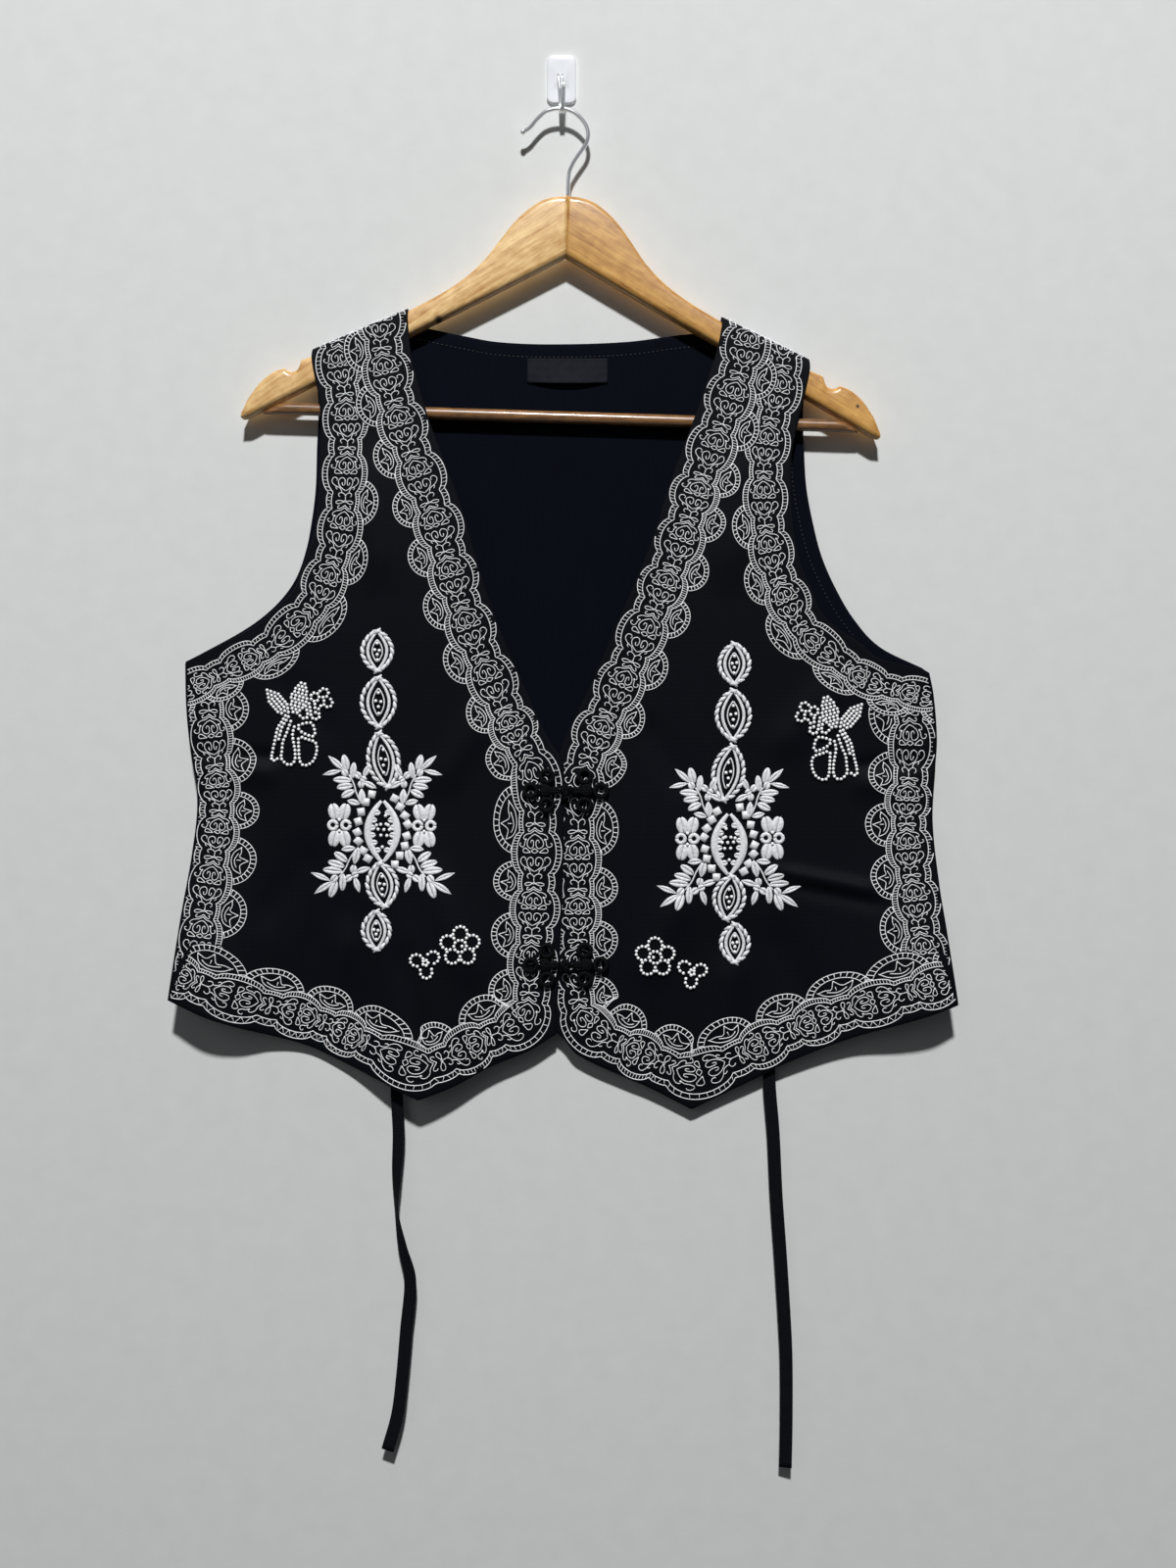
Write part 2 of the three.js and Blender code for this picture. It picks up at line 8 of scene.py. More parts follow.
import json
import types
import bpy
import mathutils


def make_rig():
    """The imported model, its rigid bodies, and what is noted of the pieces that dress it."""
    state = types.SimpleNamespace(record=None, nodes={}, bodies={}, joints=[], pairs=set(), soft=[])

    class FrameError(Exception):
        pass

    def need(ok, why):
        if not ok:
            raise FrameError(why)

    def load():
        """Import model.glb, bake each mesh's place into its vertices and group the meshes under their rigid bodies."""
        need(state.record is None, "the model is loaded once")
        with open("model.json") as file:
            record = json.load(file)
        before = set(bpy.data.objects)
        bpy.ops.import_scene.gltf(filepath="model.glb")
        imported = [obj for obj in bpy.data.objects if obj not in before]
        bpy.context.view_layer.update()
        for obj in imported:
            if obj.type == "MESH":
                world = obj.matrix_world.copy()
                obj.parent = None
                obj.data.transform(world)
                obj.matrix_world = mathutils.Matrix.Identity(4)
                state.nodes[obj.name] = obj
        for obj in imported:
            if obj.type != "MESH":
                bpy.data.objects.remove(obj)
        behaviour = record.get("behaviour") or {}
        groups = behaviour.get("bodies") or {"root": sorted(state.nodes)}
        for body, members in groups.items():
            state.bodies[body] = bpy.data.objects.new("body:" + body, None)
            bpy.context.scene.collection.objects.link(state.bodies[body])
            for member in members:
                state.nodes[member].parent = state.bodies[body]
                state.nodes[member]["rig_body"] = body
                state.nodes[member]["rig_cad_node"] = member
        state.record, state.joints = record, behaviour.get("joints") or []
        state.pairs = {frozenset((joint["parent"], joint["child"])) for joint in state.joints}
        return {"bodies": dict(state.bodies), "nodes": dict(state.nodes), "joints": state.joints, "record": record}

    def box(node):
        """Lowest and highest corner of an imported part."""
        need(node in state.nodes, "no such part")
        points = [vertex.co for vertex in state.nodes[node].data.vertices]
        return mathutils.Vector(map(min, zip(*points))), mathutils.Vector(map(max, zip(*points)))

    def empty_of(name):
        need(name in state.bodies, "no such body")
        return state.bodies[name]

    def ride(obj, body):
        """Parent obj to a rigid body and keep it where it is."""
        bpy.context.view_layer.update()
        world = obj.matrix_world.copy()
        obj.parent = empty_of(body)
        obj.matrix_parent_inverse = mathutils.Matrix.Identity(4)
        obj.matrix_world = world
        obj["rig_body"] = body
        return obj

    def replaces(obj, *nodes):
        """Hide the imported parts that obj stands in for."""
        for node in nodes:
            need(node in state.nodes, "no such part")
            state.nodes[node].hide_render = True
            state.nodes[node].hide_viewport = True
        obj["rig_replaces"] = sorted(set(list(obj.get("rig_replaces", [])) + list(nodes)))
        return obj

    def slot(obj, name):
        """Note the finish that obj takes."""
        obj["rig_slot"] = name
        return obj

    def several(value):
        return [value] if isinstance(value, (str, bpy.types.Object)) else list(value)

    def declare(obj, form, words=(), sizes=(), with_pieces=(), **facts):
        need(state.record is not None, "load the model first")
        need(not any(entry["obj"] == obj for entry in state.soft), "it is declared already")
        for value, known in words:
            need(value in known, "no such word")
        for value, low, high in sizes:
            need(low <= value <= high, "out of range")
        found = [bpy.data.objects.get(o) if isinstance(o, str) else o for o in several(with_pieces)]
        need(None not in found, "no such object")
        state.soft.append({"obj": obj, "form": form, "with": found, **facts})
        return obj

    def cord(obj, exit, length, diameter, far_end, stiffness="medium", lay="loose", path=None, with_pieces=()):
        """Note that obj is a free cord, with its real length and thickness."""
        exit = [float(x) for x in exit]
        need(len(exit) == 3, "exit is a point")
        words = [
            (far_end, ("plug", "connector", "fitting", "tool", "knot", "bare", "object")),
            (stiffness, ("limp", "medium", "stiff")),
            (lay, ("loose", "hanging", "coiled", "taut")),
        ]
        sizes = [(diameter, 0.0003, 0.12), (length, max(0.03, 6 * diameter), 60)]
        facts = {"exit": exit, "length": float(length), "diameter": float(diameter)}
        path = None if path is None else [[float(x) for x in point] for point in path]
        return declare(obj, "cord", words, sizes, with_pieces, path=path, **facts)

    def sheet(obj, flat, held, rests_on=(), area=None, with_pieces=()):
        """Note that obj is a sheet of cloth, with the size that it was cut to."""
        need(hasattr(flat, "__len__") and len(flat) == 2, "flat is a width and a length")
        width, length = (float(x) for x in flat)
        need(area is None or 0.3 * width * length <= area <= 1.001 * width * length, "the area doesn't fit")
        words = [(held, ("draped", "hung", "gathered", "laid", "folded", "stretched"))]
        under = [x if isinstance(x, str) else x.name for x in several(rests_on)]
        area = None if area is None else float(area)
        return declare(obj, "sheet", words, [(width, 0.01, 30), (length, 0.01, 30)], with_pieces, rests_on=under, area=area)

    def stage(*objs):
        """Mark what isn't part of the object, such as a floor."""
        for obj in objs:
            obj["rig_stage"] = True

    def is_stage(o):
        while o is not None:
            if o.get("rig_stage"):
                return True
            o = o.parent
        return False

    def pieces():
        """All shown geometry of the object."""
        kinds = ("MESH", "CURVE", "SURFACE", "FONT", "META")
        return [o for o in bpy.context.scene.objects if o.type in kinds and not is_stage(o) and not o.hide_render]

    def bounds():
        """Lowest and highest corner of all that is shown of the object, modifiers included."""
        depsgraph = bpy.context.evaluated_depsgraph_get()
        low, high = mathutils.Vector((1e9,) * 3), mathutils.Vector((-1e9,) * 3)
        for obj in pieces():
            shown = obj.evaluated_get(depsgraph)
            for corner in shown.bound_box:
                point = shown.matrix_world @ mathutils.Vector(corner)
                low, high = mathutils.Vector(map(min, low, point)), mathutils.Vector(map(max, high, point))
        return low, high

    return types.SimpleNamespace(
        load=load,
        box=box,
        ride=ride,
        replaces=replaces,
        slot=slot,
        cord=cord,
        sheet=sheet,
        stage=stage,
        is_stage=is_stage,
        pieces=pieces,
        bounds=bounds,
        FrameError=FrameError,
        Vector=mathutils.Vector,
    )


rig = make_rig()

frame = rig.load()
CAD_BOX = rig.bounds()

import json
import logging
import math
from dataclasses import dataclass
from enum import Enum
from typing import Callable, Sequence

import bpy
import numpy as np

Array = np.ndarray
Run = Sequence[Sequence[float]]
MM = 0.001
LOG = logging.getLogger("waistcoat")

CLOTH = 1.2  # wall of the fronts and the back
HANGER_DEPTH = 10.5  # wall to the middle of the arms, the bar and the hook wire
WRAP_RADIUS = 7.4  # of the strap over an arm
SETTLED_DEPTH = 11.5  # of the fronts below the hanger
BACK_DEPTH = 3.5  # of the back, between the hanger and the wall
LAP_STEP = 1.7  # right front over left front at the centre
LAP_REACH = 45.0  # width over which the lap flattens out
TURN_SHARE = 0.1  # part of a front's height that takes up its strap's turn over the arm
SEAM_INSET = 0.5  # of the back's side seams from the fronts' ones


# ---- small maths ----
def smooth(start: float, end: float, value: Array) -> Array:
    """Rises from 0 at start to 1 at end along 3t^2 - 2t^3."""
    t = np.clip((value - start) / (end - start), 0.0, 1.0)
    return t * t * (3.0 - 2.0 * t)


def mix(low: Array, high: Array, share: Array) -> Array:
    """A value between low and high."""
    return low + (high - low) * share


def unit(vectors: Array) -> Array:
    """Vectors of length one."""
    return vectors / np.maximum(np.linalg.norm(vectors, axis=-1, keepdims=True), 1e-12)


def left_of(ahead: Array) -> Array:
    """Flat vectors turned a quarter turn to the left."""
    return np.stack([-ahead[..., 1], ahead[..., 0]], axis=-1)


def rotated(points: Array, degrees: float) -> Array:
    """Points of a flat chart turned anticlockwise about its origin."""
    c, s = math.cos(math.radians(degrees)), math.sin(math.radians(degrees))
    return points @ np.array([[c, s], [-s, c]])


def gaps(first: Array, second: Array) -> Array:
    """Distance of every point of one flat set from every point of another."""
    return np.hypot(*(first[:, None] - second[None]).transpose(2, 0, 1))


def rounded_box(half_wide: Array | float, half_high: Array | float, corner: Array | float,
                steps: int) -> tuple[Array, Array]:
    """Outline of a rectangle with round corners.

    Args:
        half_wide: half its width, or (n, 1) of them for n outlines.
        half_high: half its height.
        corner: radius of its corners.
        steps: points on each corner.

    Returns:
        Places across and up, anticlockwise.
    """
    angle = np.radians(np.linspace(0, 90, steps)[None] + 90 * np.arange(4)[:, None]).ravel()
    right, above = np.repeat([1, -1, -1, 1], steps), np.repeat([1, 1, -1, -1], steps)
    across = right * (half_wide - corner) + corner * np.cos(angle)
    return across, above * (half_high - corner) + corner * np.sin(angle)


def hung(x: Array, depth: Array, z: Array) -> Array:
    """Points from the place across, the depth from the wall and the height."""
    return np.stack(np.broadcast_arrays(x, -np.asarray(depth, float), z), axis=-1)


def through(points: Run) -> Callable[[Array], Array]:
    """A smooth run through [key, value] points.

    Between two points it is the cubic whose end slopes are the chords across each point.

    Args:
        points: the points, with keys that only rise or only fall.

    Returns:
        A function of the key.
    """
    keys, values = np.array(sorted(points, key=lambda p: p[0]), float).T
    chords = np.diff(values) / np.diff(keys)
    inner = (values[2:] - values[:-2]) / (keys[2:] - keys[:-2])
    before = np.concatenate([chords[:1], inner])
    after = np.concatenate([inner, chords[-1:]])

    def run(key: Array) -> Array:
        """The value at each key."""
        i = np.clip(np.searchsorted(keys, key, side="right") - 1, 0, len(chords) - 1)
        span = keys[i + 1] - keys[i]
        t = np.clip((key - keys[i]) / span, 0.0, 1.0)
        blend = (2 * t**3 - 3 * t**2) * (values[i] - values[i + 1]) + values[i]
        return blend + span * ((t**3 - 2 * t**2 + t) * before[i] + (t**3 - t**2) * after[i])

    return run


def cornered(*runs: Run) -> Callable[[Array], Array]:
    """Smooth runs with corners between them, chosen by key."""
    ordered = sorted(runs, key=lambda run: min(p[0] for p in run))
    parts = [through(run) for run in ordered]
    joins = [max(p[0] for p in run) for run in ordered[:-1]]

    def run(key: Array) -> Array:
        """The value at each key, from the run that holds it."""
        which = np.searchsorted(joins, key)
        return np.choose(which, [part(key) for part in parts])

    return run


def spline(points: Run, step: float, closed: bool = False) -> Array:
    """Evenly spaced points on a smooth line through a few points.

    Each stretch is the Catmull-Rom cubic of its four nearest points.

    Args:
        points: the points that the line passes.
        step: the spacing wanted.
        closed: whether the line comes back to its start.

    Returns:
        The points on the line, with the first and the last at its ends.
    """
    p = np.array(points, float)
    p = np.vstack([p[-1], p, p[:2]]) if closed else np.vstack([2 * p[0] - p[1], p, 2 * p[-1] - p[-2]])
    t = np.linspace(0, 1, 13)[:-1, None]
    a, b, c, d = (p[i : len(p) - 3 + i, None] for i in range(4))
    curve = b + 0.5 * t * (c - a + t * (2 * a - 5 * b + 4 * c - d + t * (3 * (b - c) + d - a)))
    return evenly(np.vstack([curve.reshape(-1, p.shape[1]), p[-2]]), step)


def evenly(line: Array, step: float) -> Array:
    """The same line with points a step apart along it."""
    run = np.concatenate([[0], np.cumsum(np.linalg.norm(np.diff(line, axis=0), axis=1))])
    count = max(int(round(run[-1] / step)), 1) + 1
    places = np.linspace(0, run[-1], count)
    return np.stack([np.interp(places, run, line[:, k]) for k in range(line.shape[1])], axis=1)


def inside(points: Array, outline: Array) -> Array:
    """Whether points lie inside a closed outline, by counting the sides that a level ray crosses."""
    ax, ay = outline.T
    bx, by = np.roll(outline, -1, axis=0).T
    slope = (bx - ax) / np.where(by == ay, 1e-9, by - ay)
    found = []
    for part in np.array_split(points, len(points) // 4000 + 1):
        x, y = part[:, :1], part[:, 1:]
        crossed = ((ay > y) != (by > y)) & (x < ax + (y - ay) * slope)
        found.append(crossed.sum(axis=1) % 2 == 1)
    return np.concatenate(found)


# ---- meshes ----
def piece(name: str, points: Array, faces: Sequence[Array], finish: "Finish",
          along: Array | None = None) -> bpy.types.Object:
    """A smooth-shaded mesh object from whole arrays.

    Args:
        name: the piece's name.
        points: its points in millimetres, (n, 3).
        faces: arrays of corner numbers, one array for each number of corners.
        finish: what it is made of.
        along: a value for each point, kept as the attribute "along", in metres.

    Returns:
        The object, in the scene and riding on the root body.
    """
    mesh = bpy.data.meshes.new(name)
    loops = np.concatenate([f.ravel() for f in faces]).astype(np.int32)
    sizes = np.concatenate([np.full(len(f), f.shape[1]) for f in faces])
    mesh.vertices.add(len(points))
    mesh.vertices.foreach_set("co", (points * MM).astype(np.float32).ravel())
    mesh.loops.add(len(loops))
    mesh.loops.foreach_set("vertex_index", loops)
    mesh.polygons.add(len(sizes))
    mesh.polygons.foreach_set("loop_start", (np.cumsum(sizes) - sizes).astype(np.int32))
    mesh.polygons.foreach_set("use_smooth", np.full(len(sizes), True))
    mesh.update(calc_edges=True)
    if along is not None:
        values = mesh.attributes.new("along", "FLOAT", "POINT")
        values.data.foreach_set("value", (along * MM).astype(np.float32))
    mesh.materials.append(finish.material())
    made = bpy.data.objects.new(name, mesh)
    bpy.context.scene.collection.objects.link(made)
    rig.ride(made, "root")
    LOG.info("%s: %d points, %d faces", name, len(points), len(sizes))
    return made


def stands_for(made: bpy.types.Object, node: str, slot: str) -> bpy.types.Object:
    """Declares which solid a piece takes the place of, and the slot of its material."""
    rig.replaces(made, node)
    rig.slot(made, slot)
    return made


def grid_faces(rows: int, columns: int, around: bool = False) -> Array:
    """Quads of a grid, each turning down, then across; around closes the columns on themselves."""
    across = columns if around else columns - 1
    r, c = np.meshgrid(np.arange(rows - 1), np.arange(across), indexing="ij")
    n = (c + 1) % columns
    quads = [r * columns + c, (r + 1) * columns + c, (r + 1) * columns + n, r * columns + n]
    return np.stack(quads, axis=-1).reshape(-1, 4)


def shell(centre: Array, thickness: float) -> tuple[Array, list[Array]]:
    """A closed wall with a rounded rim on a grid of middle points.

    The two faces are the grid moved half a wall each way along its normals, and the rim bulges
    past the grid's border by nearly half a wall.

    Args:
        centre: (rows, columns, 3), rows from the top and columns from the viewer's left.
        thickness: the wall.

    Returns:
        The points and the faces.
    """
    rows, columns = centre.shape[:2]
    down, across = np.gradient(centre, axis=0), np.gradient(centre, axis=1)
    normal = unit(np.cross(down, across)) * thickness / 2
    index = np.arange(rows * columns).reshape(rows, columns)
    border = np.concatenate([index[:-1, 0], index[-1, :-1], index[:0:-1, -1], index[0, :0:-1]])
    flat = centre.reshape(-1, 3)
    inner = np.clip(border // columns, 1, rows - 2) * columns + np.clip(border % columns, 1, columns - 2)
    rim = flat[border] + unit(flat[border] - flat[inner]) * thickness * 0.42
    points = np.vstack([flat + normal.reshape(-1, 3), flat - normal.reshape(-1, 3), rim])
    back, edge = rows * columns, 2 * rows * columns
    front_faces = grid_faces(rows, columns)
    k = np.arange(len(border))
    n = (k + 1) % len(border)
    near = np.stack([border, border[n], edge + n, edge + k], axis=1)
    far = np.stack([edge + k, edge + n, back + border[n], back + border], axis=1)
    return points, [front_faces, front_faces[:, ::-1] + back, near[:, ::-1], far[:, ::-1]]


def lofted(rings: Array) -> tuple[Array, list[Array]]:
    """A closed loft through rings, each turning anticlockwise as seen from the end they run to."""
    count, sides = rings.shape[:2]
    first = np.arange(sides)[None]
    body = grid_faces(count, sides, around=True)[:, ::-1]
    return rings.reshape(-1, 3), [body, first[:, ::-1], first + (count - 1) * sides]


def swept(centre: Array, normal: Array, run: Array, width: Array, height: Array,
          sides: int, square: float = 1.0) -> tuple[Array, list[Array], Array]:
    """Closed bars along many separate runs of points, made as one mesh.

    At each point the section is an ellipse square to the run, with its half axes along the
    surface and away from it: centre + side * width * cos a + normal * height * sin a.

    Args:
        centre: (n, 3) points of all runs, one run after another.
        normal: (n, 3) the surface's normals there.
        run: (n,) which run a point belongs to.
        width: half widths along the surface.
        height: half heights away from it.
        sides: corners of the section.
        square: power of the cosine and sine, 1 for an ellipse and near 0 for a rectangle.

    Returns:
        The points, the faces, and each point's distance along the runs.
    """
    linked = run[1:] == run[:-1]
    ahead = np.vstack([np.where(linked[:, None], centre[1:], centre[:-1]), centre[-1:]])
    behind = np.vstack([centre[:1], np.where(linked[:, None], centre[:-1], centre[1:])])
    tangent = unit(ahead - behind)
    side = unit(np.cross(tangent, normal))
    up = np.cross(side, tangent)
    angle = 2 * np.pi * (np.arange(sides) + 0.5 * (square < 1)) / sides
    flat, tall = (np.sign(f) * np.abs(f) ** square for f in (np.cos(angle), np.sin(angle)))
    ring = (centre[:, None] + side[:, None] * (width[:, None] * flat)[..., None]
            + up[:, None] * (height[:, None] * tall)[..., None])
    corner = np.arange(sides)
    following = (corner + 1) % sides
    start = np.flatnonzero(linked)[:, None] * sides
    quads = np.stack([start + corner, start + sides + corner, start + sides + following,
                      start + following], axis=-1).reshape(-1, 4)
    starts = np.flatnonzero(np.concatenate([[True], ~linked]))[:, None] * sides + corner
    ends = np.flatnonzero(np.concatenate([~linked, [True]]))[:, None] * sides + corner[::-1]
    steps = np.linalg.norm(np.diff(centre, axis=0), axis=1) * linked
    along = np.repeat(np.concatenate([[0], np.cumsum(steps)]), sides)
    return ring.reshape(-1, 3), [quads, starts, ends], along


def balls(centres: Array, radius: float, around: int = 8, rings: int = 5) -> tuple[Array, list[Array]]:
    """Many small closed balls in one mesh: rings of points between two poles.

    Args:
        centres: (n, 3) their middles.
        radius: of each ball.
        around: points on a ring.
        rings: rings between the poles.

    Returns:
        The points and the faces.
    """
    polar = np.pi * np.arange(1, rings + 1) / (rings + 1)
    turn = 2 * np.pi * np.arange(around) / around
    ring = np.stack([np.outer(np.sin(polar), np.cos(turn)), np.outer(np.sin(polar), np.sin(turn)),
                     np.outer(np.cos(polar), np.ones(around))], axis=-1).reshape(-1, 3)
    one = np.vstack([ring, [[0, 0, 1], [0, 0, -1]]]) * radius
    size, top = len(one), rings * around
    k = np.arange(around)
    caps = np.vstack([np.stack([np.full(around, top), k, (k + 1) % around], axis=1),
                      np.stack([np.full(around, top + 1), top - around + (k + 1) % around,
                                top - around + k], axis=1)])
    shift = (np.arange(len(centres)) * size)[:, None, None]
    quads = (grid_faces(rings, around, around=True)[None] + shift).reshape(-1, 4)
    tris = (caps[None] + shift).reshape(-1, 3)
    return (centres[:, None] + one).reshape(-1, 3), [quads, tris]


# ---- finishes ----
def linear(colour: str) -> tuple[float, float, float, float]:
    """Linear colour of an sRGB hex value, by the sRGB curve."""
    parts = [int(colour[i : i + 2], 16) / 255 for i in (1, 3, 5)]
    return (*(c / 12.92 if c <= 0.04045 else ((c + 0.055) / 1.055) ** 2.4 for c in parts), 1.0)


def add(tree: bpy.types.NodeTree, kind: str, inputs: dict | None = None, **settings) -> bpy.types.Node:
    """Adds one node.

    Args:
        tree: the material's node tree.
        kind: the node's type name without "ShaderNode".
        inputs: for each socket, by name or number, a value or the socket that feeds it.
        settings: the node's own settings.

    Returns:
        The node.
    """
    made = tree.nodes.new("ShaderNode" + kind)
    for name, value in settings.items():
        setattr(made, name, value)
    for key, value in (inputs or {}).items():
        if isinstance(value, bpy.types.NodeSocket):
            tree.links.new(value, made.inputs[key])
        else:
            made.inputs[key].default_value = value
    return made


def bands(period: float) -> float:
    """The scale at which a wave texture's bands are a period in millimetres apart."""
    return 2 * math.pi / (20 * period * MM)


@dataclass(frozen=True)
class Finish:
    """What a piece is made of: two shades of its colour and how it shines."""

    name: str
    shade: str
    light: str
    roughness: float = 0.6
    metallic: float = 0.0
    sheen: float = 0.0
    coat: float = 0.0
    specular: float = 0.5

    def material(self) -> bpy.types.Material:
        """The finish's material, made once."""
        known = bpy.data.materials.get(self.name)
        if known:
            return known
        made = bpy.data.materials.new(self.name)
        made.use_nodes = True
        tree = made.node_tree
        tree.nodes.clear()
        place = add(tree, "TexCoord").outputs["Object"]
        colour, bump = self.surface(tree, place)
        shader = add(tree, "BsdfPrincipled", {
            "Base Color": colour, "Roughness": self.roughness, "Metallic": self.metallic,
            "Sheen Weight": self.sheen, "Sheen Roughness": 0.5, "Coat Weight": self.coat,
            "Coat Roughness": 0.12, "Specular IOR Level": self.specular, "Normal": bump})
        add(tree, "OutputMaterial", {"Surface": shader.outputs[0]})
        return made

    def shades(self, tree: bpy.types.NodeTree, share: bpy.types.NodeSocket) -> bpy.types.NodeSocket:
        """The colour between the two shades."""
        blend = add(tree, "Mix", {0: share, 6: linear(self.shade), 7: linear(self.light)}, data_type="RGBA")
        return blend.outputs[2]

    def surface(self, tree: bpy.types.NodeTree, place: bpy.types.NodeSocket) -> tuple:
        """Colour and normal: here a soft cloudy mottle and a fine moulded grain."""
        cloud = add(tree, "TexNoise", {"Vector": place, "Scale": 60.0, "Detail": 4.0})
        grain = add(tree, "TexNoise", {"Vector": place, "Scale": 900.0})
        bump = add(tree, "Bump", {"Strength": 0.15, "Distance": 0.0002, "Height": grain.outputs[0]})
        return self.shades(tree, cloud.outputs[0]), bump.outputs[0]


@dataclass(frozen=True)
class PlainWeave(Finish):
    """Plain-woven cotton: matt, with fine crossing threads, and slubs painted a little lighter, partly their own tone
    and partly a painted highlight.
    """

    pitch: float = 0.9  # the real threads are 0.3 mm apart, drawn coarser so that they show

    def surface(self, tree: bpy.types.NodeTree, place: bpy.types.NodeSocket) -> tuple:
        """Colour from slubs, painted lighter as part tone and part painted highlight, and soft fading; normal from
        warp and weft waves.
        """
        scale = bands(self.pitch)
        slub = add(tree, "Mapping", {"Vector": place, "Scale": (900.0, 900.0, 60.0)})
        slubs = add(tree, "TexNoise", {"Vector": slub.outputs[0], "Scale": 1.0, "Detail": 2.0})
        fade = add(tree, "TexNoise", {"Vector": place, "Scale": 9.0, "Detail": 3.0})
        # slubs are painted lighter: partly their own tone, partly a painted highlight
        share = add(tree, "Math", {0: slubs.outputs[0], 1: fade.outputs[0]}, operation="MULTIPLY")
        warp = add(tree, "TexWave", {"Vector": place, "Scale": scale, "Distortion": 0.6},
                   bands_direction="X")
        weft = add(tree, "TexWave", {"Vector": place, "Scale": scale, "Distortion": 0.6},
                   bands_direction="Z")
        woven = add(tree, "Math", {0: warp.outputs["Fac"], 1: weft.outputs["Fac"]}, operation="MAXIMUM")
        threads = add(tree, "Bump", {"Strength": 0.35, "Distance": 0.0002, "Height": woven.outputs[0]})
        rumple = add(tree, "Bump", {"Strength": 0.25, "Distance": 0.002, "Height": fade.outputs[0],
                                    "Normal": threads.outputs[0]})
        return self.shades(tree, share.outputs[0]), rumple.outputs[0]


@dataclass(frozen=True)
class StitchThread(Finish):
    """Embroidery thread: bright and slightly silky, each stitch a small twist painted darker in its dip and lighter on
    its crest, a painted shade and highlight.
    """

    stitch: float = 2.2  # length of one stitch along the run

    def surface(self, tree: bpy.types.NodeTree, place: bpy.types.NodeSocket) -> tuple:
        """Stitches are painted darker where they dip and lighter on their crests, a painted shade and highlight, read
        from the run's own length.
        """
        along = add(tree, "Attribute", attribute_name="along", attribute_type="GEOMETRY")
        turns = add(tree, "Math", {0: along.outputs["Fac"], 1: 2 * math.pi / (self.stitch * MM)},
                    operation="MULTIPLY")
        wave = add(tree, "Math", {0: turns.outputs[0]}, operation="SINE")
        fuzz = add(tree, "TexNoise", {"Vector": place, "Scale": 500.0, "Detail": 2.0})
        lift = add(tree, "Math", {0: wave.outputs[0], 1: 0.25, 2: fuzz.outputs[0]},
                   operation="MULTIPLY_ADD")
        bump = add(tree, "Bump", {"Strength": 0.5, "Distance": 0.0003, "Height": lift.outputs[0]})
        # the wave that bumps each stitch also paints its colour: painted shade in the dip, painted highlight on the
        # crest
        return self.shades(tree, lift.outputs[0]), bump.outputs[0]


@dataclass(frozen=True)
class Varnished(Finish):
    """Pale hardwood under clear varnish: long grain, flecks across it, pores and knots; the lighter flecks and
    blotches are partly the wood's own figure and partly a painted sheen.
    """

    slope: float = 0.0  # of the grain, in degrees
    grain: float = 3.0  # width of a grain band in mm
    knots: tuple[tuple[float, float, float], ...] = ()  # place across, height and radius in mm
    knot: str = "#3a2110"

    def surface(self, tree: bpy.types.NodeTree, place: bpy.types.NodeSocket) -> tuple:
        """Noise drawn out along the grain for the colour, finer streaks for the pores, dark knots."""
        turned = add(tree, "Mapping", {"Vector": place, "Rotation": (0, math.radians(self.slope), 0)})
        fine = 1 / (self.grain * MM)
        drawn = add(tree, "Mapping", {"Vector": turned.outputs[0], "Scale": (fine / 14, fine, fine)})
        figure = add(tree, "TexNoise", {"Vector": drawn.outputs[0], "Scale": 1.0, "Detail": 5.0,
                                        "Distortion": 0.6})
        pores = add(tree, "TexNoise", {"Vector": drawn.outputs[0], "Scale": 6.0, "Detail": 2.0})
        share = add(tree, "Math", {0: figure.outputs[0], 1: 0.8, 2: 0.1}, operation="MULTIPLY_ADD")
        streaks = add(tree, "Math", {0: pores.outputs[0], 1: 0.4, 2: share.outputs[0]},
                      operation="MULTIPLY_ADD")
        flecks = add(tree, "TexNoise", {"Vector": turned.outputs[0], "Scale": 130.0, "Detail": 4.0})
        # flecks lighten the colour: partly the wood's own figure, partly a painted sheen for its shimmer
        silky = add(tree, "Math", {0: flecks.outputs[0], 1: 0.4, 2: streaks.outputs[0]},
                    operation="MULTIPLY_ADD")
        level = add(tree, "MapRange", {"Value": silky.outputs[0], "From Min": 0.66, "From Max": 1.16})
        bump = add(tree, "Bump", {"Strength": 0.2, "Distance": 0.0002, "Height": pores.outputs[0]})
        tone = self.shades(tree, level.outputs[0])
        flat = add(tree, "VectorMath", {0: place, 1: (1, 0, 1)}, operation="MULTIPLY")
        for x, z, radius in self.knots:
            away = add(tree, "VectorMath", {0: flat.outputs[0], 1: (x * MM, 0, z * MM)}, operation="DISTANCE")
            clear = add(tree, "MapRange", {"Value": away.outputs["Value"], "From Min": radius * MM / 3,
                                           "From Max": radius * MM})
            tone = add(tree, "Mix", {0: clear.outputs[0], 6: linear(self.knot), 7: tone},
                       data_type="RGBA").outputs[2]
        return tone, bump.outputs[0]


@dataclass(frozen=True)
class TapeWeave(Finish):
    """Narrow woven or folded cloth: fine ribs across its length."""

    rib: float = 1.4  # spacing

    def surface(self, tree: bpy.types.NodeTree, place: bpy.types.NodeSocket) -> tuple:
        """Ribs across the length lift the surface, and a slow mottle shades it."""
        mottle = add(tree, "TexNoise", {"Vector": place, "Scale": 220.0, "Detail": 3.0})
        ribs = add(tree, "TexWave", {"Vector": place, "Scale": bands(self.rib), "Distortion": 0.8},
                   bands_direction="Z")
        bump = add(tree, "Bump", {"Strength": 0.5, "Distance": 0.0003, "Height": ribs.outputs["Fac"]})
        return self.shades(tree, mottle.outputs[0]), bump.outputs[0]


